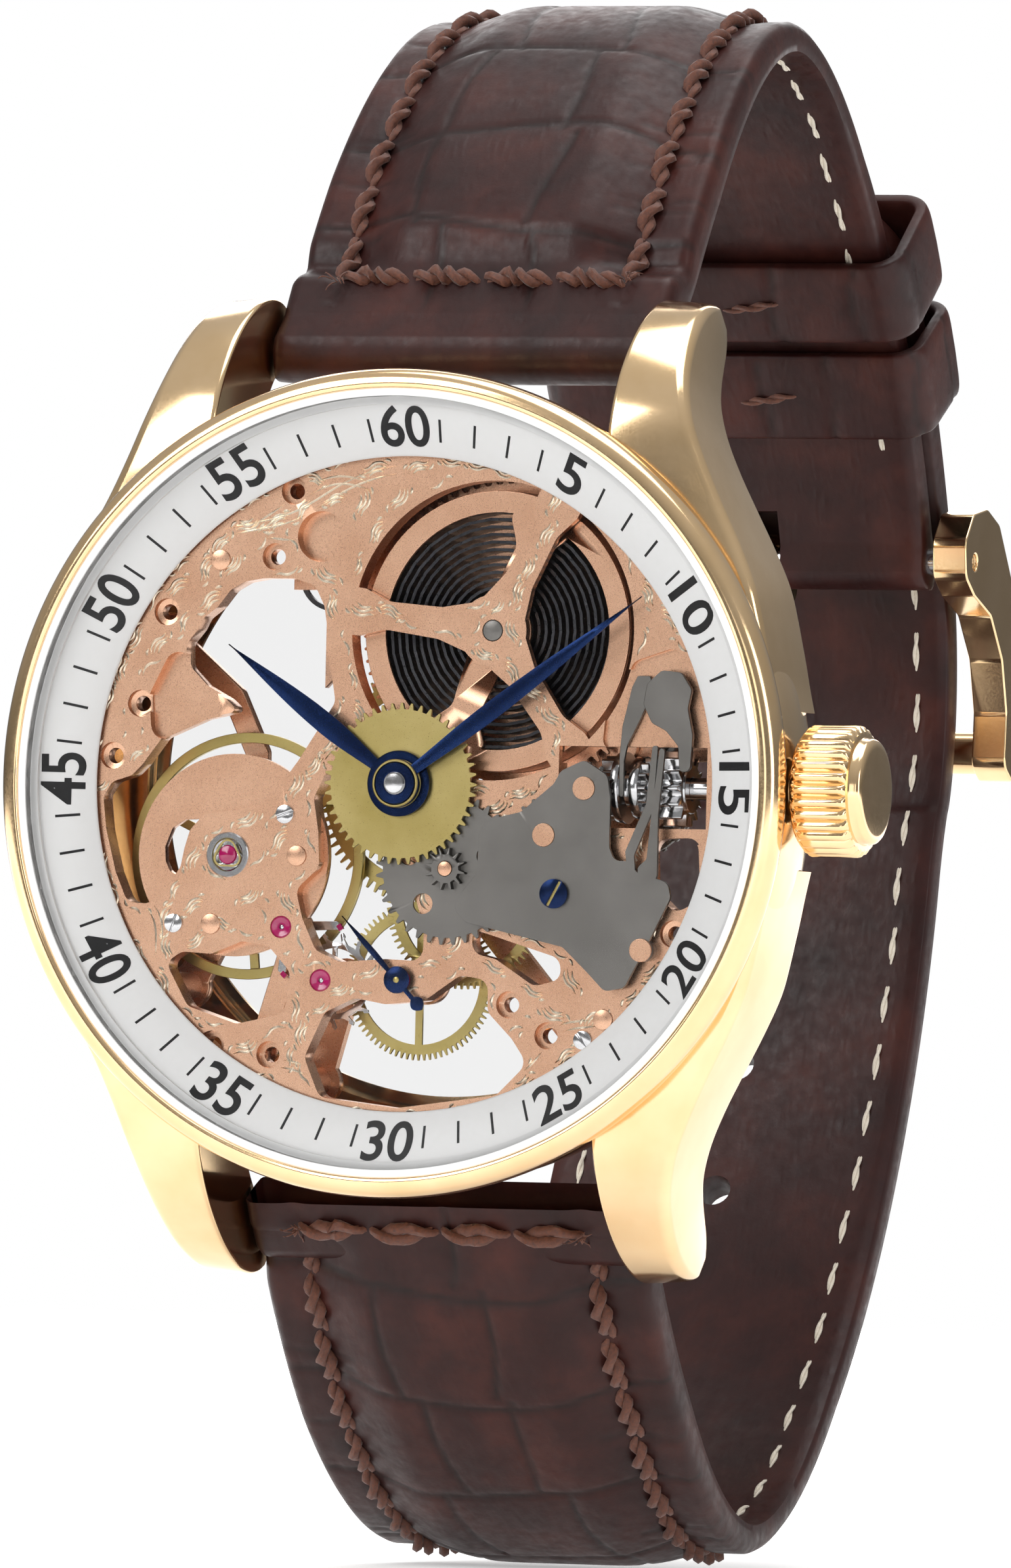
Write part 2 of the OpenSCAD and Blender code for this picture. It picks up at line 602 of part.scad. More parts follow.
module ratchet_wheel() color("silver") upright() translate(barrel_at) slab(3.2, 3.55) difference() {
  rotate(winding_a) teeth(ratchet_teeth, ratchet_teeth * winding_module / 2, 0.2, 0.28);
  circle(0.75);
  for (k = [0:4]) rotate(k * 72) translate([3.6, 0]) circle(1.3);
}

module crown_wheel() color("silver") upright() translate(crown_wheel_at) {
  difference() {
    union() {
      slab(3.2, 3.55) rotate(winding_a + 180 + 180 / crown_wheel_teeth)
        teeth(crown_wheel_teeth, crown_wheel_teeth * winding_module / 2, 0.2, 0.28);
      washer(centre_at, 3.7, 2.9, 3.55, 3.95);
    }
    disc(centre_at, 0.45, 0, 10);
  }
  // face teeth that the winding pinion drives
  for (k = [0:crown_wheel_teeth - 1]) slab(3.9, 4.13) rotate((k + 0.5) * 360 / crown_wheel_teeth)
    translate([2.95, -0.17]) square([0.7, 0.34]);
}

module click() color("silver") upright() slab(3.2, 3.55) difference() {
  union() {
    translate(click_at) circle(0.9);
    polygon([[-3.9, 12], [-1.95, 10.28], [-2.1, 10.9], [-2.4, 12.5]]);
  }
  translate(click_at) circle(0.35);
}

// The stem: pilot, square for the clutch, round for the winding pinion, thread into the crown
module winding_stem() color("silver") upright() translate([0, 0, stem_z]) rotate([0, 90, 0]) {
  translate([0, 0, 6.4]) cylinder(r = 0.4, h = 2.3);
  translate([-0.42, -0.42, 8.6]) cube([0.84, 0.84, 4.9]);
  translate([0, 0, 13.45]) cylinder(r = 0.6, h = 10.45);
}

// The clutch: a collar with teeth at both ends, a groove for the yoke and a square bore
module clutch_pinion() color("silver") upright() translate([0, 0, stem_z]) rotate([0, 90, 0])
  difference() {
    union() {
      translate([0, 0, 10.7]) linear_extrude(0.8) teeth(12, 1.52, 0.18, 0.35);
      translate([0, 0, 10.7]) cylinder(r = 0.95, h = 2.7);
      translate([0, 0, 11.5]) cylinder(r = 1.9, h = 0.45);
      translate([0, 0, 12.5]) cylinder(r = 1.7, h = 0.5);
      translate([0, 0, 13]) linear_extrude(0.4) teeth(14, 1.5, 0.15, 0.3);
    }
    translate([-0.45, -0.45, 10]) cube([0.9, 0.9, 6]);
  }

module winding_pinion() color("silver") upright() translate([0, 0, stem_z]) rotate([0, 90, 0])
  difference() {
    union() {
      translate([0, 0, 14.1]) linear_extrude(1.3) teeth(14, 1.86, 0.18, 0.42);
      translate([0, 0, 13.75]) cylinder(r = 1.3, h = 1.8);
    }
    translate([0, 0, 13]) cylinder(r = 0.6 + pivot_gap, h = 4);
  }

module crown_seal() color("black") upright() translate([22.75, 0, stem_z]) rotate([0, 90, 0])
  difference() {
    cylinder(r = 1.75, h = 0.5);
    translate([0, 0, -1]) cylinder(r = 1.42, h = 3);
  }

module crown() color("gold") upright() translate([21.9, 0, stem_z]) rotate([0, 90, 0]) difference() {
  union() {
    translate([0, 0, 0.3]) linear_extrude(2.7) teeth(crown_flutes, crown_r - 0.15, 0.15, 0.15, 0.45, 0.7);
    rotate_extrude() polygon([[0, 0], [3.1, 0], [3.3, 0.3], [3.3, 3], [3, 3.3], [2.95, 3.5], [2.7, 3.75],
      [1.8, 3.9], [0, 3.95]]);
  }
  translate([0, 0, -1]) cylinder(r = 1.8, h = 3.1);
  cylinder(r = 0.6, h = 2);
}

module setting_lever() color("slategray") upright() difference() {
  union() {
    slab(8.3, 8.65) polygon(rounded([[13.5, 4.4], [13.7, 5.5], [14.5, 6.2], [15.6, 6.1], [16.2, 5.2],
      [16, 4.2], [16.3, 2.8], [16.2, 0.9], [15.6, 0.8], [15.5, 2.2], [14.8, 3], [14, 3.4]], 0.4));
    disc(lever_at, 0.42, plate_z + 0.2, 8.65);
  }
}

module yoke() color("slategray") upright() {
  slab(7.96, 8.2) polygon(rounded([[12.7, 5.3], [13, 5.9], [13.7, 5.9], [13.9, 5.2], [13.2, 3.6],
    [12.5, 2.2], [12.34, 1.4], [12.34, -0.5], [12.1, -0.5], [12.08, 1.6], [12.2, 3.2]], 0.12));
  disc(yoke_at, 0.42, plate_z + 0.2, 8);
}

// ---- Movement: going train ----

// A wheel with its arbor and pinion; heights of the wheel and of the pinion
module train_wheel(at, count, pitch_r, wheel_z, leaves, leaf_r, pinion_z, spokes, wheel_a, leaf_a) {
  translate(at) {
    rotate(wheel_a) slab(wheel_z[0], wheel_z[1])
      spoked(count, pitch_r, pitch_r * 0.035, pitch_r * 0.045, pitch_r * 0.83, 0.8, spokes, 0.4);
    rotate(leaf_a) slab(pinion_z[0], pinion_z[1])
      teeth(leaves, leaf_r, leaf_r * 0.12, leaf_r * 0.32, 0.14, 0.46);
  }
}

centre_pinion_r = 1.2668;
centre_pitch_r = 6.175;
third_pinion_r = 0.772;
third_pitch_r = 4.26;
fourth_pinion_r = 0.568;
fourth_pitch_r = 4.092;
escape_pinion_r = 0.409;

module centre_wheel() color("khaki") upright() {
  train_wheel(centre_at, 80, centre_pitch_r, [4.38, 4.58], 12, centre_pinion_r, [4.6, 5.35], 5, 0, 0);
  disc(centre_at, 0.57, 4.2, 9.2);
  disc(centre_at, 0.38, 3.7, 4.3);
}

module third_wheel() color("khaki") upright() {
  train_wheel(third_at, 75, third_pitch_r, [5.6, 5.8], 10, third_pinion_r, [4.3, 4.7], 4, 0,
    mesh_phase(centre_at, 0, 80, third_at, 10));
  disc(third_at, 0.28, 4.2, 7.6);
  disc(third_at, 0.12, 3.75, 8.05);
}

module fourth_wheel() color("khaki") upright() {
  train_wheel(fourth_at, 80, fourth_pitch_r, [4.9, 5.08], 10, fourth_pinion_r, [5.5, 5.95], 4, 0,
    mesh_phase(third_at, 0, 75, fourth_at, 10));
  disc(fourth_at, 0.25, 4.2, 7.6);
  disc(fourth_at, 0.12, 3.75, 5);
  disc(fourth_at, 0.16, 7.5, 8.75);
}

module escape_wheel() color("slategray") upright() {
  translate(escape_at) {
    slab(5.95, 6.1) {
      difference() {
        circle(2.05);
        circle(1.75);
      }
      circle(0.55);
      for (k = [0:3]) rotate(k * 90) strut([0.3, 0], [1.9, 0], 0.25);
      // club teeth, leaning forward
      for (k = [0:14]) rotate(k * 24) polygon([[1.95, -0.2], [2.3, 0.2], [2.42, 0.18], [2.58, 0.36],
        [2.45, 0.46], [2.15, 0.3], [1.95, 0.2]]);
    }
    rotate(mesh_phase(fourth_at, 0, 80, escape_at, 8)) slab(4.75, 5.25)
      teeth(8, escape_pinion_r, 0.06, 0.17, 0.14, 0.46);
  }
  disc(escape_at, 0.22, 4.2, 7.6);
  disc(escape_at, 0.12, 3.75, 8.05);
}

// Direction from the pallet arbor to the balance, and to the escape wheel
fork_a = atan2(balance_at.y - pallet_at.y, balance_at.x - pallet_at.x);
escape_a = atan2(escape_at.y - pallet_at.y, escape_at.x - pallet_at.x);
fork_len = norm(balance_at - pallet_at);

// The two stones, seen from the dial
module stones_plan() translate(pallet_at) for (side = [-1, 1]) rotate(escape_a + side * 55)
  translate([2.5, 0]) rotate(-side * 62) translate([-0.02, -0.13]) square([0.34, 0.26]);

module pallet_fork() color("silver") upright() {
  slab(5.95, 6.12) difference() {
    translate(pallet_at) {
      circle(0.45);
      rotate(fork_a) difference() {
        union() {
          strut([0, 0], [fork_len - 1, 0], 0.28);
          polygon([[fork_len - 1.3, -0.14], [fork_len - 1, -0.42], [fork_len - 0.45, -0.36],
            [fork_len - 0.45, 0.36], [fork_len - 1, 0.42], [fork_len - 1.3, 0.14]]);
        }
        translate([fork_len - 0.85, -0.15]) square([1, 0.3]);
      }
      for (side = [-1, 1]) polygon(rounded([[0, 0], turn([1.1, 0.15], escape_a + side * 62),
        turn([2.5, 0.2], escape_a + side * 55), turn([2.5, -0.25], escape_a + side * 55),
        turn([1.1, -0.35], escape_a + side * 62)], 0.1, 2));
    }
    stones_plan();
  }
  disc(pallet_at, 0.2, 5.75, 7.6);
  disc(pallet_at, 0.12, 5.44, 8.05);
}

module pallet_stones() color("crimson") upright() slab(5.93, 6.14) stones_plan();

// ---- Movement: balance ----

module balance_wheel() color("khaki") upright() {
  translate(balance_at) {
    slab(4.9, 5.3) difference() {
      circle(6.6, $fn = 96);
      circle(6.05, $fn = 96);
    }
    slab(4.98, 5.2) {
      circle(0.9);
      for (a = [35, 155, 275]) rotate(a) strut([0.4, 0], [6.2, 0], 0.5);
    }
  }
  disc(balance_at, 0.3, 4.15, 7.55);
  disc(balance_at, 0.1, 3.8, 7.98);
  // roller table, its impulse pin ending just behind the fork
  disc(balance_at, 0.75, 5.45, 5.65);
  disc(balance_at + turn([0.55, 0], fork_a + 180), 0.1, 5.65, 5.85);
}

module hairspring() color("steelblue") upright() {
  translate(balance_at) slab(4.4, 4.62) polygon(spiral(0.55, 3.1, 9, 0.07, 24));
  washer(balance_at, 0.62, 0.3, 4.4, 4.7);
}

// ---- Motion work and hands ----

hour_pitch_r = 4.157;
minute_pinion_r = 1.039;
minute_pitch_r = 3.897;
cannon_pitch_r = 1.299;
setting_module = 0.2165;
minute_dir = 36.5;
hour_dir = 143.4;
seconds_dir = 133.5;

minute_a = mesh_phase(centre_at, 0, 12, minute_at, 36);
setting_a_phase = mesh_phase(minute_at, minute_a, 36, setting_a_at, 18);
setting_b_phase = mesh_phase(setting_a_at, setting_a_phase, 18, setting_b_at, 12);

module cannon_pinion() color("silver") upright() difference() {
  union() {
    slab(8.25, 8.52) teeth(12, cannon_pitch_r, 0.12, 0.3, 0.14, 0.46);
    disc(centre_at, 0.92, 8.25, 9.68);
  }
  disc(centre_at, 0.57, 0, 9.2);
}

module hour_wheel() color("khaki") upright() difference() {
  union() {
    slab(8.6, 8.8) teeth(48, hour_pitch_r, 0.14, 0.2);
    disc(centre_at, 1.3, 8.6, 9.2);
  }
  disc(centre_at, 0.95, 0, 10);
}

module minute_wheel() color("slategray") upright() translate(minute_at) difference() {
  union() {
    slab(8.25, 8.45) rotate(minute_a) teeth(36, minute_pitch_r, 0.14, 0.24);
    slab(8.45, 8.88) rotate(mesh_phase(centre_at, 0, 48, minute_at, 12))
      teeth(12, minute_pinion_r, 0.1, 0.26, 0.14, 0.46);
  }
  disc(centre_at, 0.38 + pivot_gap, 0, 10);
  for (k = [0:4]) rotate(k * 72 + 18) disc([2.3, 0], 0.55, 0, 8.46);
}

module setting_wheel(at, count, a) translate(at) rotate(a) slab(8.25, 8.45) difference() {
  teeth(count, count * setting_module / 2, 0.12, 0.24);
  circle(0.42 + pivot_gap);
}

module setting_wheel_a() color("slategray") upright() setting_wheel(setting_a_at, 18,
  setting_a_phase);
module setting_wheel_b() color("slategray") upright() setting_wheel(setting_b_at, 12,
  setting_b_phase);

// A tapered leaf hand along +X with a round hub
module hand(length, wide, neck, hub_r, hole_r, z0, z1) slab(z0, z1) difference() {
  union() {
    circle(hub_r);
    polygon([[0, neck / 2], [hub_r + 0.6, neck / 2], [length * 0.42, wide / 2], [length, 0.06],
      [length, -0.06], [length * 0.42, -wide / 2], [hub_r + 0.6, -neck / 2], [0, -neck / 2]]);
  }
  circle(hole_r);
}

module minute_hand() color("midnightblue") upright() rotate(minute_dir)
  hand(minute_len, 0.95, 0.62, 1.25, 0.92, 9.42, 9.54);

module hour_hand() color("midnightblue") upright() rotate(hour_dir)
  hand(hour_len, 1.15, 0.72, 1.75, 1.3, 9.02, 9.14);

module seconds_hand() color("midnightblue") upright() translate(fourth_at) rotate(seconds_dir)
  slab(8.62, 8.72) difference() {
    union() {
      circle(0.7);
      polygon([[0, 0.16], [seconds_len, 0.05], [seconds_len, -0.05], [0, -0.16]]);
      polygon([[0, -0.14], [-1.4, -0.12], [-1.6, -0.3], [-2.15, 0], [-1.6, 0.3], [-1.4, 0.12], [0, 0.14]]);
    }
    circle(0.16);
  }

// ---- Strap and buckle ----

function strap_12_point(t, face) = let (k = (strap_12_from - t) / 70)
  loop_at(t, face == 0 ? 0 : -thick_at(k));

module strap_12() color("saddlebrown") difference() {
  union() {
    along_x(lug_gap) polygon(concat(
      [for (t = [strap_12_from:-3:strap_12_to]) strap_12_point(t, 0)],
      [for (i = [0:floor((strap_12_from - strap_12_to) / 3)])
        strap_12_point(strap_12_from - 3 * floor((strap_12_from - strap_12_to) / 3) + 3 * i, 1)]));
    x_pin([-bar_at.y, bar_at.x], 1.9, -lug_gap / 2, lug_gap / 2);
    x_pin(pin_bar, 1.65, -lug_gap / 2, lug_gap / 2);
  }
  taper();
  x_pin([-bar_at.y, bar_at.x], bar_r, -20, 20);
  x_pin(pin_bar, 0.75 + 0.05, -20, 20);
  // notch for the tongue
  translate([-1.5, pin_bar.x - 4, pin_bar.y - 2.5]) cube([3, 8, 5.2]);
}

// How far the 6 o'clock strap has moved outside the other one
function shift_at(t) = outside_shift * ease((t + 10) / 32);
function strap_6_point(t, face) = let (k = (t - strap_6_from) / 70)
  loop_at(t, shift_at(t) - (face == 0 ? 0 : thick_at(k)));

module strap_6() color("saddlebrown") difference() {
  union() {
    along_x(lug_gap) polygon(concat(
      [for (t = [strap_6_from:3:strap_6_to]) strap_6_point(t, 0)],
      [for (t = [strap_6_to:-3:strap_6_from]) strap_6_point(t, 1)]));
    x_pin([-bar_at.y, -bar_at.x], 1.9, -lug_gap / 2, lug_gap / 2);
  }
  taper();
  x_pin([-bar_at.y, -bar_at.x], bar_r, -20, 20);
  // the hole that the tongue passes, and the free holes below it
  translate([0, 50.2, 14.8]) rotate([-130.3, 0, 0]) cylinder(r = 1.3, h = 9);
  for (t = [14, -2, -15.6, -27.4, -38.4]) hole_at(t);
}

// A round hole square through the strap
module hole_at(t) {
  out = loop_out(t);
  at = loop_at(t, -6);
  translate([0, at.x, at.y]) rotate([atan2(out.y, out.x) - 90, 0, 0]) cylinder(r = 0.95, h = 12);
}

// A leather band round both straps, at an angle of the loop
module keeper(t, width, inner) {
  out = loop_out(t);
  at = loop_at(t, 0);
  inner_x = strap_end_w / 2 + 0.55;
  translate([0, at.x, at.y]) rotate([atan2(out.y, out.x), 0, 0]) difference() {
    translate([-inner_x - 1, -inner - 1, -width / 2]) cube([2 * inner_x + 2, inner + 5.4, width]);
    translate([-inner_x, -inner, -width]) cube([2 * inner_x, inner + 3.4, 2 * width]);
  }
}

fixed_keeper_t = 40.5;
free_keeper_t = 49.5;

module fixed_keeper() color("saddlebrown") keeper(fixed_keeper_t, 5.2, 2.42);
module free_keeper() color("saddlebrown") keeper(free_keeper_t, 5, 2.7);

module buckle_frame() color("gold") difference() {
  union() {
    for (side = [0, 1]) mirror([side, 0, 0]) translate([arm_in_x, 0, 0]) rotate([90, 0, 90])
      linear_extrude(arm_out_x - arm_in_x) polygon(rounded([[47.6, 15.4], [49, 17], [51.4, 17.4],
        [53.6, 16.6], [56, 13.6], [57.7, 10.6], [58.7, 7.6], [59, 5.2], [58.6, 2.9], [57, 2.1],
        [55.4, 3], [55.6, 6], [54.6, 9], [52.4, 11.4], [49.4, 12.4], [47.8, 13.4]], 0.9, 4));
    x_pin(cross_bar, cross_bar_r, -arm_in_x - 1, arm_in_x + 1);
  }
  x_pin(pin_bar, 0.48, -20, 20);
}

module buckle_bar() color("silver") {
  x_pin(pin_bar, 0.75, 0.1 - arm_in_x, arm_in_x - 0.1);
  x_pin(pin_bar, 0.48, -arm_out_x + 0.2, arm_out_x - 0.2);
}

module buckle_tongue() color("gold") difference() {
  union() {
    x_pin(pin_bar, 1.45, -0.9, 0.9);
    along_x(1.8) polygon(rounded([[49, 15.6], [50.6, 15.4], [55.2, 11.4], [58, 7.4], [59.3, 4.6],
      [59.3, 3], [58.5, 3], [58.4, 4.2], [56.9, 7], [54.4, 10.4], [50.5, 13.6]], 0.5, 4));
  }
  x_pin(pin_bar, 0.75 + 0.04, -5, 5);
}

// ---- Assembly ----

case_middle();
bezel();
crystal();
gaskets();
minute_ring();
movement_ring();
case_back();
back_crystal();
crown_tube();
main_plate();
barrel_bridge();
train_bridge();
balance_cock();
pallet_bridge();
cover_plate();
cover_screw();
plate_pins();
plate_screws();
jewels();
shock_setting();
regulator();
click_spring();
spring_bars();
strap_12();
strap_6();
fixed_keeper();
free_keeper();
buckle_frame();
buckle_bar();
buckle_tongue();
crown_seal();
crown();
winding_stem();
clutch_pinion();
winding_pinion();
crown_wheel();
ratchet_wheel();
barrel_arbor();
click();
barrel_drum();
barrel_cover();
mainspring();
centre_wheel();
cannon_pinion();
minute_hand();
hour_wheel();
hour_hand();
minute_wheel();
setting_wheel_a();
setting_wheel_b();
third_wheel();
fourth_wheel();
seconds_hand();
escape_wheel();
pallet_fork();
pallet_stones();
balance_wheel();
hairspring();
setting_lever();
yoke();
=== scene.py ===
import json
import math

import bmesh
import bpy
import numpy as np
from mathutils import Matrix, Vector
from mathutils.bvhtree import BVHTree


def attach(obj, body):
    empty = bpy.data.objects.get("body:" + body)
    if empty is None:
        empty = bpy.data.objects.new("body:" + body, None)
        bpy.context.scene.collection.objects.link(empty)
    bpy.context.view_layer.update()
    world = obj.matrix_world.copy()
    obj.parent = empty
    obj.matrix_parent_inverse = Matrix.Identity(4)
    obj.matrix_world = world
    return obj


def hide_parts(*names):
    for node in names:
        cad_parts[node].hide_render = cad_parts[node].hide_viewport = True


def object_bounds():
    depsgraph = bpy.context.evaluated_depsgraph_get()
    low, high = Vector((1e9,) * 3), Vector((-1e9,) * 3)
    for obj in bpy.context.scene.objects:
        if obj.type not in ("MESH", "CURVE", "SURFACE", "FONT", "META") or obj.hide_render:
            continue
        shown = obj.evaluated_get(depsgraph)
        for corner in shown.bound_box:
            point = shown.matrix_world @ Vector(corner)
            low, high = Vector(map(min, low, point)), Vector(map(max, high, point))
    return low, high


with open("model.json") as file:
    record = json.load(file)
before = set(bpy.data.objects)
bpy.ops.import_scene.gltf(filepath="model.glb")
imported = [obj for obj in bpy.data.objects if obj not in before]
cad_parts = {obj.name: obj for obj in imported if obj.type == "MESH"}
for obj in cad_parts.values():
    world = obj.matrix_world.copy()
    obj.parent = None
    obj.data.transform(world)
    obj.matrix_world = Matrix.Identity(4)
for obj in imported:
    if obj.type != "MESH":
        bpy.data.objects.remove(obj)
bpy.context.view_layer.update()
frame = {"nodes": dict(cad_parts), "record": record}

MM = 0.001
rng = np.random.default_rng(7)
NODES = frame["nodes"]
BODY = {node: body for body, nodes in frame["record"]["behaviour"]["bodies"].items() for node in nodes}
SLOT = {p["node"]: p["material_slot"] for p in frame["record"]["subparts"]}

# places on the dial side (x to 3, y to 12) and heights above the case back, in mm
BALANCE, FOURTH = (-9.9, -3.9), (0, -10.4)
JEWELLED = ((2.7, -6.4), (-4.5, -10.5), (-6.8, -7.7))
COVER_SCREW, COVER_SCREW_SLOT = (8.9, -5.7), 62
PLATE_TOP = 8.2
CONE_IN, CONE_OUT, CONE_LOW, CONE_TOP = 17.4, 20.2, 8.55, 10.0
FIGURE_R = 18.95
CROWN_AT, CROWN_FLUTES = (21.9, -6.2), 30
STRAP_HOLES, STRAP_HOLE_R = (14, -2, -15.6, -27.4, -38.4), 0.95
STITCH_INSET, LINING_INSET = 2.75, 1.75
BOX_FACES = [(0, 1, 2, 3), (4, 7, 6, 5), (0, 4, 5, 1), (1, 5, 6, 2), (2, 6, 7, 3), (3, 7, 4, 0)]


def at(x, y, z):
    """A point of the head, seen from the dial: x to 3, y to 12, z above the case back, in mm."""
    return Vector((x * MM, -z * MM, y * MM))


# ---------------------------------------------------------------- materials

def shader(name):
    m = bpy.data.materials.new(name)
    m.use_nodes = True
    t = m.node_tree
    t.nodes.clear()
    out = t.nodes.new("ShaderNodeOutputMaterial")
    b = t.nodes.new("ShaderNodeBsdfPrincipled")
    t.links.new(b.outputs[0], out.inputs[0])
    return m, t, b


def coords(t, scale=(1, 1, 1)):
    c = t.nodes.new("ShaderNodeTexCoord")
    m = t.nodes.new("ShaderNodeMapping")
    m.inputs["Scale"].default_value = scale
    t.links.new(c.outputs["Object"], m.inputs[0])
    return m.outputs[0]


def noise(t, vec, scale, detail=3.0, rough=0.55, kind="FBM"):
    n = t.nodes.new("ShaderNodeTexNoise")
    n.noise_type = kind
    n.inputs["Scale"].default_value = scale
    n.inputs["Detail"].default_value = detail
    n.inputs["Roughness"].default_value = rough
    t.links.new(vec, n.inputs["Vector"])
    return n.outputs["Fac"]


def ramp(t, fac, stops):
    r = t.nodes.new("ShaderNodeValToRGB")
    r.color_ramp.elements[0].position = stops[0][0]
    r.color_ramp.elements[0].color = (*stops[0][1], 1)
    r.color_ramp.elements[1].position = stops[-1][0]
    r.color_ramp.elements[1].color = (*stops[-1][1], 1)
    for p, c in stops[1:-1]:
        e = r.color_ramp.elements.new(p)
        e.color = (*c, 1)
    t.links.new(fac, r.inputs[0])
    return r.outputs[0]


def span(t, fac, lo, hi, a=0.3, b=0.7):
    r = t.nodes.new("ShaderNodeMapRange")
    r.inputs["From Min"].default_value = a
    r.inputs["From Max"].default_value = b
    r.inputs["To Min"].default_value = lo
    r.inputs["To Max"].default_value = hi
    t.links.new(fac, r.inputs["Value"])
    return r.outputs[0]


def bump(t, b, heights):
    """heights: (value, strength, distance in mm), stacked."""
    last = None
    for value, strength, distance in heights:
        n = t.nodes.new("ShaderNodeBump")
        n.inputs["Strength"].default_value = strength
        n.inputs["Distance"].default_value = distance * MM
        t.links.new(value, n.inputs["Height"])
        if last is not None:
            t.links.new(last, n.inputs["Normal"])
        last = n.outputs[0]
    t.links.new(last, b.inputs["Normal"])


def metal(name, dark, light, rough, grain=4200, grain_depth=0.004, brush=None, patch=260):
    m, t, b = shader(name)
    b.inputs["Metallic"].default_value = 1.0
    v = coords(t)
    big = noise(t, v, patch, 4)
    t.links.new(ramp(t, big, [(0.3, dark), (0.7, light)]), b.inputs["Base Color"])
    fine_v = coords(t, brush) if brush else v
    fine = noise(t, fine_v, grain, 4, 0.6)
    t.links.new(span(t, fine, rough[0], rough[1]), b.inputs["Roughness"])
    bump(t, b, [(fine, 0.35, grain_depth)])
    return m


def plain(name, dark, light, rough, scale=900, depth=0.01, sheen=0.0, coat=0.0):
    m, t, b = shader(name)
    v = coords(t)
    n = noise(t, v, scale, 6, 0.65)
    t.links.new(ramp(t, n, [(0.3, dark), (0.7, light)]), b.inputs["Base Color"])
    t.links.new(span(t, n, rough[0], rough[1]), b.inputs["Roughness"])
    b.inputs["Sheen Weight"].default_value = sheen
    b.inputs["Coat Weight"].default_value = coat
    bump(t, b, [(n, 0.5, depth)])
    return m


def attribute(t, name):
    a = t.nodes.new("ShaderNodeAttribute")
    a.attribute_name = name
    return a.outputs["Fac"]


def mixed(t, fac, a, b):
    m = t.nodes.new("ShaderNodeMix")
    m.data_type = "RGBA"
    t.links.new(fac, m.inputs[0])
    for socket, value in ((m.inputs[6], a), (m.inputs[7], b)):
        if isinstance(value, tuple):
            socket.default_value = (*value, 1)
        else:
            t.links.new(value, socket)
    return m.outputs[2]


def leather(name, dark, mid, light):
    m, t, b = shader(name)
    v = coords(t)
    cloud = noise(t, v, 190, 5, 0.6)
    skin = ramp(t, cloud, [(0.28, dark), (0.5, mid), (0.74, light)])
    # painted shade: the groove attribute mixes the embossing's grooves towards near-black
    t.links.new(mixed(t, attribute(t, "groove"), skin, (0.008, 0.004, 0.0035)), b.inputs["Base Color"])
    wrinkle = noise(t, coords(t, (2.4, 1, 1)), 900, 6, 0.62, "RIDGED_MULTIFRACTAL")
    pores = noise(t, v, 5200, 3, 0.6)
    t.links.new(span(t, noise(t, v, 1400, 5), 0.36, 0.56), b.inputs["Roughness"])
    b.inputs["Specular IOR Level"].default_value = 0.26
    b.inputs["Coat Weight"].default_value = 0.035
    b.inputs["Coat Roughness"].default_value = 0.32
    bump(t, b, [(pores, 0.25, 0.03), (wrinkle, 0.32, 0.07)])
    return m


def suede(name):
    m, t, b = shader(name)
    v = coords(t)
    cloud = noise(t, v, 330, 6, 0.68)
    nap = noise(t, v, 5200, 4, 0.7)
    pores = noise(t, v, 1700, 2, 0.5)
    base = ramp(t, cloud, [(0.28, (0.40, 0.305, 0.225)), (0.5, (0.49, 0.385, 0.295)),
                           (0.72, (0.56, 0.455, 0.36))])
    t.links.new(mixed(t, span(t, pores, 0.35, 0.0, 0.28, 0.40), base, (0.30, 0.215, 0.15)), b.inputs["Base Color"])
    b.inputs["Roughness"].default_value = 0.93
    b.inputs["Sheen Weight"].default_value = 0.25
    b.inputs["Sheen Roughness"].default_value = 0.5
    bump(t, b, [(nap, 0.5, 0.035), (pores, 0.3, 0.05)])
    return m


def glass(name, tint):
    m, t, b = shader(name)
    b.inputs["Base Color"].default_value = (*tint, 1)
    b.inputs["Roughness"].default_value = 0.02
    b.inputs["IOR"].default_value = 1.5
    f = t.nodes.new("ShaderNodeFresnel")
    f.inputs["IOR"].default_value = 1.42
    t.links.new(span(t, f.outputs[0], 0.035, 0.55, 0.03, 0.6), b.inputs["Alpha"])
    return m


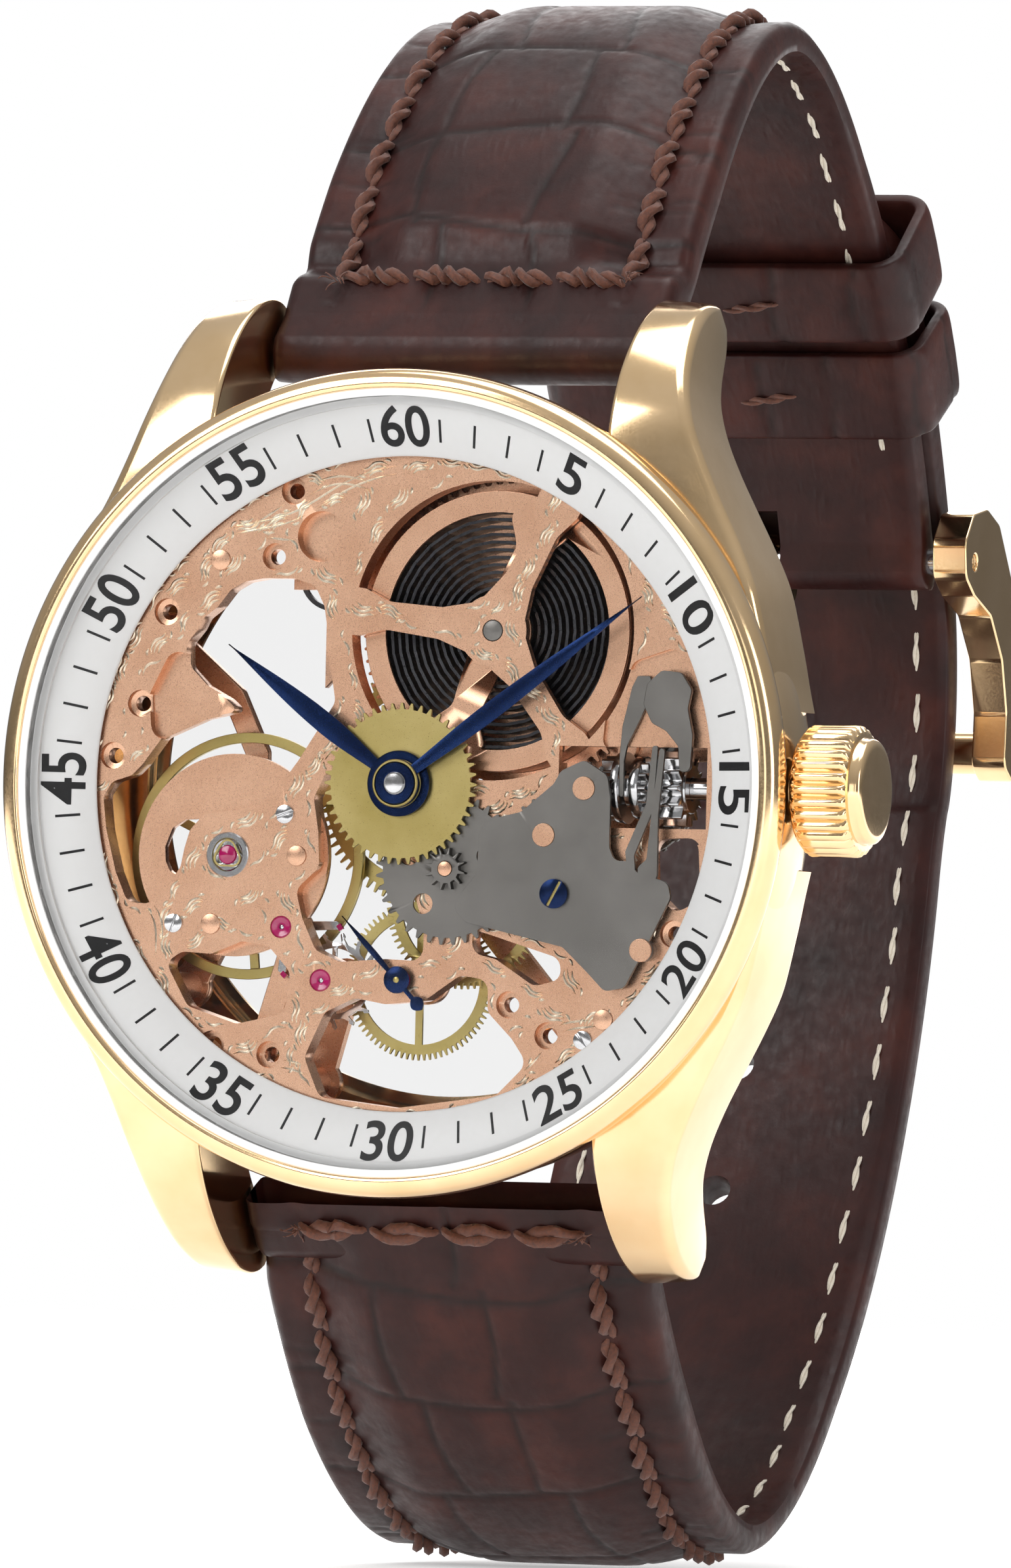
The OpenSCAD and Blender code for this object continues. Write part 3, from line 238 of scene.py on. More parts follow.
M = {
    "yellow_gold": metal("polished_gold", (0.84, 0.585, 0.315), (0.92, 0.665, 0.395), (0.11, 0.17), 9000, 0.0006),
    "rose_gold": metal("rose_gold_satin", (0.66, 0.375, 0.24), (0.78, 0.475, 0.32), (0.24, 0.34), 16000, 0.0012),
    # a paler copy of the rose gold for the engraving: a painted highlight on its cuts
    "rose_painted_highlight": metal("rose_gold_painted_highlight", (0.99, 0.80, 0.60), (1.0, 0.88, 0.70), (0.24, 0.32), 4000, 0.0006),
    "gilt": metal("brass_gilt", (0.42, 0.33, 0.11), (0.54, 0.435, 0.18), (0.26, 0.38), 16000, 0.0012),
    "brushed_steel": metal("brushed_steel", (0.16, 0.153, 0.142), (0.21, 0.20, 0.188), (0.32, 0.42), 900, 0.003,
                           (1, 1, 20)),
    "polished_steel": metal("polished_steel", (0.52, 0.52, 0.53), (0.68, 0.68, 0.69), (0.12, 0.20), 20000, 0.0003),
    "blued_steel": metal("blued_steel", (0.008, 0.016, 0.055), (0.012, 0.028, 0.095), (0.20, 0.30), 20000, 0.0003),
    "spring_steel": metal("spring_steel", (0.035, 0.035, 0.04), (0.07, 0.07, 0.075), (0.24, 0.38), 4200, 0.003),
    "ruby": plain("ruby", (0.40, 0.0, 0.09), (0.55, 0.004, 0.15), (0.08, 0.14), 900, 0.001, coat=0.8),
    "crystal": glass("crystal_glass", (0.02, 0.02, 0.02)),
    "white_ring": plain("white_enamel", (0.93, 0.93, 0.92), (0.96, 0.96, 0.955), (0.30, 0.42), 3000, 0.002),
    "gasket": plain("seal_rubber", (0.32, 0.32, 0.31), (0.42, 0.42, 0.41), (0.5, 0.65), 3000, 0.01),
    "ink": plain("black_ink", (0.006, 0.006, 0.007), (0.014, 0.014, 0.015), (0.35, 0.5), 4000, 0.002),
    "leather": leather("embossed_leather", (0.013, 0.0030, 0.0027), (0.028, 0.0062, 0.0050), (0.058, 0.0130, 0.0085)),
    "edge_paint": plain("painted_edge", (0.075, 0.055, 0.045), (0.125, 0.095, 0.078), (0.55, 0.75), 1500, 0.05),
    "suede": suede("suede_lining"),
    "thread": plain("brown_thread", (0.060, 0.017, 0.009), (0.150, 0.048, 0.024), (0.55, 0.8), 6000, 0.06, sheen=0.15),
    "cream_thread": plain("cream_thread", (0.62, 0.55, 0.44), (0.76, 0.70, 0.60), (0.6, 0.85), 6000, 0.05, sheen=0.2),
    "floor": plain("floor", (0.86, 0.855, 0.85), (0.89, 0.885, 0.88), (0.6, 0.7), 60, 0.01),
}
# the floor shines more the further it is from the watch, so that it meets the white backdrop unseen
floor_tree = M["floor"].node_tree
floor_shader = floor_tree.nodes["Principled BSDF"]
floor_shader.inputs["Emission Color"].default_value = (1, 1, 1, 1)
floor_far = floor_tree.nodes.new("ShaderNodeVectorMath")
floor_far.operation = "LENGTH"
floor_tree.links.new(coords(floor_tree), floor_far.inputs[0])
floor_tree.links.new(span(floor_tree, floor_far.outputs["Value"], 0.4, 1.1, 0.22, 0.5),
                     floor_shader.inputs["Emission Strength"])
floor_shader.inputs["Specular IOR Level"].default_value = 0.1

# ---------------------------------------------------------------- helpers

def smooth(me, angle=32):
    """Smooth shading with sharp edges above an angle."""
    me.shade_smooth()
    me.set_sharp_from_angle(angle=math.radians(angle))


def add(name, me, mats, body, replaces=()):
    ob = bpy.data.objects.new(name, me)
    bpy.context.scene.collection.objects.link(ob)
    mats = mats if isinstance(mats, (list, tuple)) else [mats]
    if len(me.materials) != len(mats):
        me.materials.clear()
        for m in mats:
            me.materials.append(m)
    for k, m in enumerate(mats):
        me.materials[k] = m
    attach(ob, body)
    if replaces:
        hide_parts(*replaces)
    return ob


def mesh_from(name, verts, faces, angle=32, idx=None):
    me = bpy.data.meshes.new(name)
    me.from_pydata([tuple(v) for v in verts], [], [tuple(int(i) for i in f) for f in faces])
    bm = bmesh.new()
    bm.from_mesh(me)
    if idx is not None:
        for f, k in zip(bm.faces, idx):
            f.material_index = int(k)
    bmesh.ops.recalc_face_normals(bm, faces=bm.faces)
    if bm.calc_volume(signed=True) < 0:
        bmesh.ops.reverse_faces(bm, faces=bm.faces)
    bm.to_mesh(me)
    bm.free()
    smooth(me, angle)
    return me


class Soup:
    """Collects vertices and faces of many small closed shapes."""

    def __init__(self):
        self.v, self.f, self.n = [], [], 0

    def add(self, verts, faces):
        self.v.extend(tuple(p) for p in verts)
        self.f.extend(tuple(int(i) + self.n for i in f) for f in faces)
        self.n += len(verts)

    def piece(self, name, mat, body, replaces=(), angle=32):
        """Adds everything collected so far as one object."""
        add(name, mesh_from(name, self.v, self.f, angle), M[mat], body, replaces)


def ring_faces(rows, cols, closed_rows=False, caps=False):
    """Quads between rows of a grid whose columns wrap round."""
    f = []
    for i in range(rows if closed_rows else rows - 1):
        a, b = i * cols, ((i + 1) % rows) * cols
        for j in range(cols):
            k = (j + 1) % cols
            f.append((a + j, a + k, b + k, b + j))
    if caps and not closed_rows:
        f.append(tuple(reversed(range(cols))))
        f.append(tuple(range((rows - 1) * cols, rows * cols)))
    return f


def lathe(profile, place, n=256):
    """Turns a closed outline (radius, height) round an axis; place maps (a, b, height) to a point."""
    p = np.array(profile)
    verts, m = [], len(p)
    for i in range(n):
        c, s = math.cos(2 * math.pi * i / n), math.sin(2 * math.pi * i / n)
        for r, h in p:
            verts.append(place(r * c, r * s, h))
    return verts, ring_faces(n, m, closed_rows=True)


def spline(points, per=6, closed=False):
    """A Catmull-Rom curve through points."""
    p = np.array(points, float)
    n = len(p)
    out = []
    for i in range(n if closed else n - 1):
        a, b, c, d = (p[(i - 1) % n], p[i], p[(i + 1) % n], p[(i + 2) % n]) if closed else (
            p[max(i - 1, 0)], p[i], p[i + 1], p[min(i + 2, n - 1)])
        for k in range(per):
            t = k / per
            out.append(0.5 * ((2 * b) + (c - a) * t + (2 * a - 5 * b + 4 * c - d) * t * t
                              + (3 * b - a - 3 * c + d) * t ** 3))
    if not closed:
        out.append(p[-1])
    return np.array(out)


def refined(node, width, segs=2, angle=35, mat=None):
    """A copy of a CAD node with its edges softened."""
    src = NODES[node]
    me = src.data.copy()
    bm = bmesh.new()
    bm.from_mesh(me)
    bmesh.ops.remove_doubles(bm, verts=bm.verts, dist=2e-6)
    bmesh.ops.dissolve_limit(bm, angle_limit=math.radians(0.4), verts=bm.verts, edges=bm.edges,
                             delimit=set())
    bmesh.ops.recalc_face_normals(bm, faces=bm.faces)
    bm.to_mesh(me)
    bm.free()
    me.shade_smooth()
    ob = add("look_" + node, me, M[mat or SLOT[node]], BODY[node], (node,))
    b = ob.modifiers.new("bevel", "BEVEL")
    b.width = width * MM
    b.segments = segs
    b.limit_method = "ANGLE"
    b.angle_limit = math.radians(angle)
    b.use_clamp_overlap = True
    b.miter_outer = "MITER_ARC"
    ob.modifiers.new("normals", "WEIGHTED_NORMAL").keep_sharp = True


# every CAD node that stays in view gets its material
for node_name, node_ob in NODES.items():
    if not node_ob.material_slots:
        node_ob.data.materials.append(M[SLOT[node_name]])
    for material_slot in node_ob.material_slots:
        material_slot.material = M[SLOT[node_name]]


# ---------------------------------------------------------------- case

def ease(x):
    k = min(1.0, max(0.0, x))
    return k * k * (3 - 2 * k)


def turned(name, outline, slot, replaces=(), mat=None, angle=32, n=256, body="head", centres=((0, 0),)):
    """A turned piece, or the same one at several centres, as one object."""
    soup = Soup()
    for cx, cy in centres:
        soup.add(*lathe(outline, lambda a, b, h: at(cx + a, cy + b, h), n))
    soup.piece(name, mat or slot, body, replaces, angle)


# bezel: a slim round roll with a fine step inside
turned("bezel_ring", [(20.9, 9.1), (21.3, 9.1), (21.48, 9.12), (21.56, 9.2), (21.6, 9.34), (21.82, 9.46),
                      (21.95, 9.66), (22.0, 9.95), (21.99, 10.3), (21.92, 10.62), (21.79, 10.9), (21.6, 11.12),
                      (21.38, 11.24), (21.15, 11.29), (21.02, 11.27), (20.93, 11.2), (20.9, 11.1)],
       "yellow_gold", ("bezel",), angle=50)

# case band and lugs
band = spline([(20.30, 1.4), (20.62, 1.75), (20.95, 2.6), (21.22, 3.8), (21.38, 5.2), (21.42, 6.6), (21.4, 7.9),
               (21.3, 8.75), (21.16, 9.04), (21.0, 9.1)], 4)
band_v, band_f = lathe([(19.6, 9.1), (19.6, 1.4)] + [tuple(p) for p in band], at, 256)


def lug_rows():
    """Sections of a lug from the case to its tip: (top y, z), (bottom y, z), outer x."""
    keys = np.array([
        (4.2, 8.72, 4.2, 1.85, 20.9),
        (5.5, 8.75, 5.5, 1.85, 20.62),
        (7.2, 8.80, 7.2, 1.85, 20.32),
        (9.0, 8.85, 9.0, 1.85, 19.95),
        (10.8, 8.90, 10.8, 1.80, 19.45),
        (12.8, 8.92, 12.8, 1.80, 18.55),
        (15.0, 8.92, 15.0, 1.75, 17.4),
        (17.2, 8.85, 16.9, 1.65, 16.4),
        (19.4, 8.50, 18.7, 1.35, 15.55),
        (21.5, 7.45, 20.3, 0.75, 14.95),
        (23.3, 5.90, 21.5, -0.20, 14.6),
        (24.8, 4.00, 22.4, -1.20, 14.35),
        (25.8, 1.95, 23.2, -2.05, 14.15),
        (26.2, 0.20, 24.0, -2.50, 14.0),
        (26.15, -1.00, 24.7, -2.62, 13.85),
        (25.8, -1.95, 25.15, -2.60, 13.6)])
    return spline(keys, 5)


def lug_mesh(soup, sx, sy):
    rows = lug_rows()
    pts = []
    for ty, tz, by, bz, xo in rows:
        top, bot = np.array([ty, tz]), np.array([by, bz])
        h = np.linalg.norm(top - bot)
        up = (top - bot) / h
        xi = max(11.12, math.sqrt(max(0.0, 20.3 ** 2 - by ** 2)))
        w = xo - xi
        shrink = min(1.0, h / 3.2)
        sec = []
        for cx, ch, r, a_from in ((xi, 0, 0.25, 270), (xi, h, 0.3, 180), (xo, h, 0.62, 90), (xo, 0, 0.7, 0)):
            r = min(r * shrink, 0.46 * w, 0.46 * h)
            c = (cx + (r if cx == xi else -r), ch + (r if ch == 0 else -r))
            for a in np.radians(np.linspace(a_from, a_from - 90, 9)):
                sec.append((c[0] + r * math.cos(a), c[1] + r * math.sin(a)))
        for x, q in sec:
            # the front face falls a little towards the outer side
            fall = 0.075 * max(0.0, x - 11.12) ** 1.35 * (q / h) * ease((by - 9) / 9)
            p = bot + up * (q - min(fall, 0.45 * h))
            pts.append(at(sx * x, sy * p[0], p[1]))
    soup.add(pts, ring_faces(len(rows), len(sec), caps=True))


case = Soup()
case.add(band_v, band_f)
for sx in (-1, 1):
    for sy in (-1, 1):
        lug_mesh(case, sx, sy)
case.piece("case_body", "yellow_gold", "head", ("case_middle",), 38)

# case back: a polished ring round a flat glass
turned("case_back_ring", [(16.5, 0.0), (17.0, 0.0), (18.9, 0.0), (19.25, 0.04), (19.55, 0.2), (19.8, 0.42),
                          (20.1, 0.95), (20.25, 1.36), (20.2, 1.4), (19.28, 1.4), (19.28, 2.9), (18.9, 2.9),
                          (18.9, 1.35), (17.25, 1.35), (17.25, 0.25), (16.5, 0.25)],
       "yellow_gold", ("case_back",), angle=24)
turned("back_glass", [(0.001, 0.25), (17.1, 0.25), (17.2, 0.35), (17.2, 1.2), (17.1, 1.3), (0.001, 1.3)],
       "crystal", ("back_crystal",))

# crystal: a shallow dome with a bevelled rim
dome = [(0.001, 12.0)] + [(r, 11.12 + 0.88 * (1 - (r / 20.2) ** 2)) for r in np.linspace(1.5, 20.2, 22)]
under = [(r, 10.28 + 0.57 * (1 - (r / 20.2) ** 2)) for r in np.linspace(20.2, 1.5, 22)] + [(0.001, 10.85)]
turned("front_crystal", dome + [(20.42, 11.04), (20.5, 10.9), (20.5, 10.3), (20.42, 10.26)] + under,
       "crystal", ("crystal",))
turned("crystal_seal", [(20.1, 10.0), (20.9, 10.0), (20.9, 11.06), (20.8, 11.1), (20.56, 11.1), (20.5, 11.04),
                        (20.5, 10.25), (20.1, 10.25)], "gasket", mat="white_ring")
turned("back_seal", [(19.28, 2.0), (19.6, 2.0), (19.6, 2.5), (19.28, 2.5)], "gasket", ("gaskets",))

# minute ring: an enamelled cone that falls towards the movement
def cone_z(r):
    return CONE_LOW + (CONE_TOP - CONE_LOW) * (r - CONE_IN) / (CONE_OUT - CONE_IN)


turned("minute_track", [(17.4, 8.42), (19.7, 9.35), (19.7, 9.1), (20.85, 9.1), (20.85, 10.0), (20.2, 10.0),
                        (17.5, cone_z(17.5)), (17.43, 8.545), (17.4, 8.5)], "white_ring", ("minute_ring",))
turned("holding_ring", [(18.35, 3.6), (19.55, 3.6), (19.55, 8.4), (17.95, 8.4), (17.95, 8.22), (17.97, 8.2),
                        (18.35, 8.2)], "brushed_steel", ("movement_ring",), mat="rose_gold")

marks = Soup()
for k in range(60):
    if k % 5:
        a = math.radians(90 - 6 * k)
        c, s = math.cos(a), math.sin(a)
        q = [(18.2, -0.07), (19.4, -0.07), (19.4, 0.07), (18.2, 0.07)]
        v = [at(r * c - w * s, r * s + w * c, cone_z(r) + z) for z in (-0.01, 0.012) for r, w in q]
        marks.add(v, BOX_FACES)
marks.piece("minute_ticks", "ink", "head")


def numeral(value, height=2.16):
    """A printed minute number as a thin mesh laid on the cone of the track."""
    cu = bpy.data.curves.new("figure", "FONT")
    cu.body = str(value)
    cu.extrude = 0.012
    cu.offset = 0.014
    cu.resolution_u = 6
    tmp = bpy.data.objects.new("figure", cu)
    bpy.context.scene.collection.objects.link(tmp)
    bpy.context.view_layer.update()
    me = bpy.data.meshes.new_from_object(tmp)
    bpy.data.objects.remove(tmp)
    p = np.array([v.co[:] for v in me.vertices])
    lo, hi = p.min(0), p.max(0)
    wide = {1: 1.42, 2: 2.78}[len(str(value))]
    p = (p - (lo + hi) / 2) * [wide / (hi[0] - lo[0]), height / (hi[1] - lo[1]), 1]
    faces = [tuple(f.vertices) for f in me.polygons]
    th = math.radians(value * 6)
    upright = value <= 15 or value >= 45
    a = -th if upright else math.pi - th
    cx, cy = FIGURE_R * math.sin(th), FIGURE_R * math.cos(th)
    c, s = math.cos(a), math.sin(a)
    v = []
    for x, y, z in p:
        px, py = cx + x * c - y * s, cy + x * s + y * c
        v.append(at(px, py, cone_z(math.hypot(px, py)) + 0.006 + z))
    return v, faces


figures = Soup()
for value in range(5, 65, 5):
    figures.add(*numeral(value))
figures.piece("minute_figures", "ink", "head", angle=20)

# ---------------------------------------------------------------- crown

# (distance along the stem, radius, share of the flutes)
crown_outline = [(0.0, 1.85, 0), (0.0, 2.9, 0), (0.05, 3.08, 0), (0.16, 3.2, 0), (0.26, 3.32, 0.3), (0.34, 3.44, 1),
                 (0.5, 3.5, 1), (1.2, 3.5, 1), (2.0, 3.5, 1), (2.8, 3.5, 1), (3.02, 3.44, 1), (3.14, 3.3, 0.6),
                 (3.2, 3.16, 0), (3.22, 3.0, 0), (3.24, 2.86, 0), (3.3, 2.82, 0), (3.6, 2.8, 0), (3.74, 2.76, 0),
                 (3.84, 2.66, 0), (3.9, 2.5, 0), (3.92, 2.3, 0), (3.93, 1.4, 0), (3.945, 0.7, 0),
                 (3.95, 0.001, 0), (2.0, 0.001, 0), (2.1, 1.8, 0), (0.05, 1.8, 0)]
crown_sides, flute_depth = 360, 0.3
crown_v = []
for i in range(crown_sides):
    a = 2 * math.pi * i / crown_sides
    wave = (0.5 + 0.5 * math.cos(CROWN_FLUTES * a)) ** 0.5
    for h, r, share in crown_outline:
        rr = r - flute_depth * share * (1 - wave)
        crown_v.append(Vector(((CROWN_AT[0] + h) * MM, (CROWN_AT[1] + rr * math.cos(a)) * MM, rr * math.sin(a) * MM)))
crown = Soup()
crown.add(crown_v, ring_faces(crown_sides, len(crown_outline), closed_rows=True))
crown.piece("crown_knob", "yellow_gold", "stem", ("crown",), 34)

# ---------------------------------------------------------------- movement

for node_name, width, segs in (
        ("main_plate", 0.11, 2), ("barrel_bridge", 0.1, 2), ("train_bridge", 0.1, 2), ("balance_cock", 0.1, 2),
        ("cover_plate", 0.04, 2), ("barrel_cover", 0.05, 2), ("barrel_drum", 0.03, 1), ("pallet_bridge", 0.05, 2),
        ("setting_lever", 0.04, 2), ("yoke", 0.03, 1), ("regulator", 0.03, 1), ("click", 0.04, 1),
        ("hour_wheel", 0.02, 1), ("minute_wheel", 0.02, 1), ("setting_wheel_a", 0.02, 1),
        ("setting_wheel_b", 0.02, 1), ("centre_wheel", 0.02, 1), ("third_wheel", 0.02, 1),
        ("fourth_wheel", 0.02, 1), ("escape_wheel", 0.015, 1), ("ratchet_wheel", 0.03, 1),
        ("crown_wheel", 0.03, 1), ("balance_wheel", 0.05, 2), ("pallet_fork", 0.02, 1), ("cover_screw", 0.03, 2),
        ("plate_screws", 0.03, 2), ("plate_pins", 0.03, 2), ("jewels", 0.04, 2), ("barrel_arbor", 0.04, 2),
        ("cannon_pinion", 0.03, 1), ("clutch_pinion", 0.03, 1), ("winding_pinion", 0.03, 1),
        ("winding_stem", 0.03, 1), ("buckle_bar", 0.05, 1), ("spring_bars", 0.06, 2), ("crown_tube", 0.05, 1)):
    refined(node_name, width, segs)
refined("shock_setting", 0.03, 2, mat="polished_steel")
refined("buckle_frame", 0.78, 5, 30)
refined("buckle_tongue", 0.55, 4, 30)

# the balance's shock setting: a steel ring and a ruby cap
turned("setting_ring", [(0.82, 8.0), (1.18, 8.0), (1.2, 8.3), (1.14, 8.36), (0.9, 8.36), (0.82, 8.26)],
       "gilt", mat="polished_steel", angle=30, n=64, centres=(BALANCE,))
turned("setting_cap", [(0.001, 8.05), (0.52, 8.05), (0.52, 8.24), (0.46, 8.32), (0.25, 8.38), (0.001, 8.4)],
       "ruby", angle=30, n=64, centres=(BALANCE,))
# the bright floor of the slot in the blued screw
slot_a = math.radians(COVER_SCREW_SLOT)
slot_x, slot_y = 0.72 * math.cos(slot_a), 0.72 * math.sin(slot_a)
soup = Soup()
soup.add([at(COVER_SCREW[0] + e * slot_x - w * math.sin(slot_a), COVER_SCREW[1] + e * slot_y + w * math.cos(slot_a), z)
          for z in (9.075, 9.1) for e, w in ((-1, -0.08), (1, -0.08), (1, 0.08), (-1, 0.08))], BOX_FACES)
soup.piece("screw_slot", "gilt", "head")
# the lyre spring that holds the cap jewel
turns = 72
loop = []
for t in np.linspace(0, 2 * math.pi, turns + 1)[:-1]:
    r = 0.68 - 0.09 * math.cos(3 * t)
    loop.append((BALANCE[0] + r * math.cos(t + 0.5), BALANCE[1] + r * math.sin(t + 0.5)))
ring_v = []
for k, (x, y) in enumerate(loop):
    d = np.array(loop[(k + 1) % turns]) - np.array(loop[k - 1])
    d = d / np.linalg.norm(d)
    for w, z in ((-0.045, 8.27), (-0.045, 8.34), (0.045, 8.34), (0.045, 8.27)):
        ring_v.append(at(x - d[1] * w, y + d[0] * w, z))
soup = Soup()
soup.add(ring_v, ring_faces(turns, 4, closed_rows=True))
soup.piece("setting_spring", "gilt", "head")
turned("jewel_caps", [(0.13, 8.05), (0.58, 8.05), (0.58, 8.13), (0.5, 8.19), (0.3, 8.14), (0.16, 8.1)],
       "ruby", angle=30, n=64, centres=JEWELLED)

# bright-cut leaf engraving on the plate's dial side; its paler rose gold is a painted highlight on the cuts
plate = NODES["main_plate"].data
tree = BVHTree.FromPolygons([v.co for v in plate.vertices], [p.vertices for p in plate.polygons])


def on_plate(x, y):
    hit = tree.ray_cast(at(x, y, 9.2), Vector((0, 1, 0)))
    return hit[0] is not None and abs(hit[0].y + PLATE_TOP * MM) < 0.02 * MM


def reach_along(x, y, a, limit=4.0):
    d = 0.25
    while d < limit and on_plate(x + d * math.cos(a), y + d * math.sin(a)):
        d += 0.25
    return d


def blade(path, width, rise):
    """A closed lens-shaped ridge along a path on the plate."""
    n, z0 = len(path), PLATE_TOP
    v = []
    for i, (x, y) in enumerate(path):
        a = path[min(i + 1, n - 1)] - path[max(i - 1, 0)]
        a = a / (np.linalg.norm(a) + 1e-9)
        w = width * math.sin(math.pi * (0.04 + 0.92 * i / (n - 1))) ** 0.8
        nx, ny = -a[1] * w, a[0] * w
        v += [at(x + nx, y + ny, z0), at(x, y, z0 + rise), at(x - nx, y - ny, z0), at(x, y, z0 - 0.03)]
    return v, ring_faces(n, 4, caps=True)


def all_on(path):
    """Whether a path lies on the plate with some room on its sides."""
    room = ((0.16, 0), (-0.16, 0), (0, 0.16), (0, -0.16))
    return all(on_plate(p + u, q + w) for p, q in path[::2] for u, w in room)


# leaves: two nested strokes, a tip and a vein, laid along the metal they stand on
LEAF = (((-1.0, 0.02), (-0.55, 0.34), (0.0, 0.38), (0.5, 0.16), (1.0, 0.12)),
        ((-0.85, -0.1), (-0.4, 0.1), (0.05, 0.1), (0.45, -0.12), (0.85, -0.14)),
        ((-0.6, -0.34), (-0.15, -0.16), (0.25, -0.22), (0.6, -0.42)),
        ((-1.25, 0.22), (-1.05, 0.4), (-0.75, 0.46)),
        ((0.75, -0.4), (1.05, -0.34), (1.3, -0.1)))
cut = Soup()
spots = []
MOST_LEAVES, LEAF_ROOM = 190, 1.32
for attempt in range(12000):
    if len(spots) == MOST_LEAVES:
        break
    r, a = 17.7 * math.sqrt(rng.random()), 2 * math.pi * rng.random()
    x, y = r * math.cos(a), r * math.sin(a)
    if not on_plate(x, y) or any((x - p) ** 2 + (y - q) ** 2 < LEAF_ROOM ** 2 for p, q in spots):
        continue
    headings = np.linspace(0, math.pi, 13)[:-1]
    best = max((reach_along(x, y, t) + reach_along(x, y, t + math.pi), t) for t in headings)
    t = best[1] + (math.pi if len(spots) % 3 else 0) + rng.uniform(-0.15, 0.15)
    size = rng.uniform(0.62, 0.8)
    flip = 1 if len(spots) % 2 else -1
    lines = []
    for stroke in LEAF:
        q = spline(stroke, 5) * [size, size * flip * 1.05]
        path = np.stack([x + q[:, 0] * math.cos(t) - q[:, 1] * math.sin(t),
                         y + q[:, 0] * math.sin(t) + q[:, 1] * math.cos(t)], 1)
        if all_on(path):
            lines.append(path)
    if len(lines) > 1:
        spots.append((x, y))
        for path in lines:
            cut.add(*blade(path, 0.075, 0.04))
# long flowing cuts along the rim: (radius, first angle, last angle, bow)
for r0, a0, a1, lean in ((16.9, 93, 128, 0.9), (16.1, 98, 124, -0.7), (15.2, 104, 122, 0.6),
                         (16.6, 196, 214, 0.5), (16.8, 292, 312, 0.7), (16.2, 238, 252, -0.6)):
    q = np.linspace(0, 1, 26)
    ang = np.radians(a0 + (a1 - a0) * q)
    rad = r0 - lean * np.sin(q * math.pi) + 0.25 * np.sin(q * 2.2 * math.pi)
    for off in (0.0, 0.42):
        path = np.stack([(rad - off) * np.cos(ang), (rad - off) * np.sin(ang)], 1)
        run = []
        for pt in list(path) + [None]:
            if pt is not None and all_on(np.array([pt])):
                run.append(pt)
            else:
                if len(run) > 5:
                    cut.add(*blade(np.array(run), 0.06, 0.035))
                run = []
cut.piece("plate_engraving", "rose_painted_highlight", "head", angle=25)

# ---------------------------------------------------------------- hands

def leaf_hand(name, origin, direction, length, wide, neck, tail, hub, hole, z0, thick, body, node):
    """A leaf hand with a fine ridge along its middle and a ring hub."""
    soup = Soup()
    a = math.radians(direction)
    ca, sa = math.cos(a), math.sin(a)

    def put(x, y, z):
        return at(origin[0] + x * ca - y * sa, origin[1] + x * sa + y * ca, z)

    x = np.linspace(hub * 0.82, length, 40)
    s = (x - x[0]) / (x[-1] - x[0])
    peak = 0.34
    grow = np.maximum(0, np.sin(s / peak * math.pi / 2))
    w = np.where(s < peak, neck / 2 + (wide - neck) / 2 * grow ** 1.4,
                 wide / 2 * np.cos((s - peak) / (1 - peak) * math.pi / 2) ** 1.15)
    w = np.maximum(w, 0.03)
    v = []
    for xi, wi in zip(x, w):
        v += [put(xi, wi, z0 + 0.02), put(xi, wi, z0 + thick * 0.55), put(xi, 0, z0 + thick),
              put(xi, -wi, z0 + thick * 0.55), put(xi, -wi, z0 + 0.02), put(xi, 0, z0)]
    soup.add(v, ring_faces(len(x), 6, caps=True))
    if tail:
        x = -np.linspace(hub * 0.8, tail, 24)
        s = (x - x[0]) / (x[-1] - x[0])
        swell = np.maximum(0, np.sin((s - 0.45) / 0.55 * math.pi))
        w = np.maximum(0.03, np.where(s < 0.45, 0.12, 0.36 * swell ** 0.8 + 0.03))
        v = []
        for xi, wi in zip(x, w):
            v += [put(xi, wi, z0 + 0.01), put(xi, wi, z0 + thick * 0.7), put(xi, 0, z0 + thick),
                  put(xi, -wi, z0 + thick * 0.7), put(xi, -wi, z0 + 0.01)]
        soup.add(v, ring_faces(len(x), 5, caps=True))
    ring = [(hole, z0), (hub - 0.04, z0), (hub, z0 + 0.03), (hub, z0 + thick * 0.6), (hub - 0.08, z0 + thick),
            (hole, z0 + thick)]
    soup.add(*lathe(ring, put, 72))
    soup.piece(name, "blued_steel", body, (node,), 30)


leaf_hand("hour_hand_leaf", (0, 0), 143.4, 12.2, 1.15, 0.62, 0, 1.75, 1.28, 9.02, 0.13, "hour", "hour_hand")
leaf_hand("minute_hand_leaf", (0, 0), 36.5, 16.9, 0.98, 0.56, 0, 1.3, 0.9, 9.42, 0.13, "centre", "minute_hand")
leaf_hand("seconds_hand_leaf", FOURTH, 133.5, 4.6, 0.34, 0.24, 2.15, 0.72, 0.14, 8.62, 0.10, "fourth", "seconds_hand")
for part_name, slot, outline in (
        ("hub_ring", "blued_steel", [(0.6, 9.55), (1.1, 9.55), (1.12, 9.62), (1.08, 9.69), (0.66, 9.71), (0.6, 9.68)]),
        ("hub_rim", "gilt", [(1.13, 9.52), (1.27, 9.52), (1.28, 9.6), (1.24, 9.645), (1.16, 9.645), (1.13, 9.6)]),
        ("centre_pin", "polished_steel", [(0.001, 9.6), (0.54, 9.6), (0.58, 9.66), (0.57, 9.74), (0.5, 9.79),
                                          (0.25, 9.82), (0.001, 9.825)])):
    turned(part_name, outline, slot, angle=28, n=72, body="centre")

# ---------------------------------------------------------------- strap

def spow(v, p):
    return math.copysign(abs(v) ** p, v)


def loop_raw(t):
    t = math.radians(t)
    z = 0.5 + 42.3 * spow(math.sin(t), 1.29)
    return np.array([22 + 31.3 * spow(math.cos(t), 1.08) + 0.03 * z, z])


def loop_out(t):
    d = loop_raw(t + 1) - loop_raw(t - 1)
    d = d / np.linalg.norm(d)
    return np.array([d[1], -d[0]])


def thick_at(k):
    return 4.0 - 1.7 * ease(k)


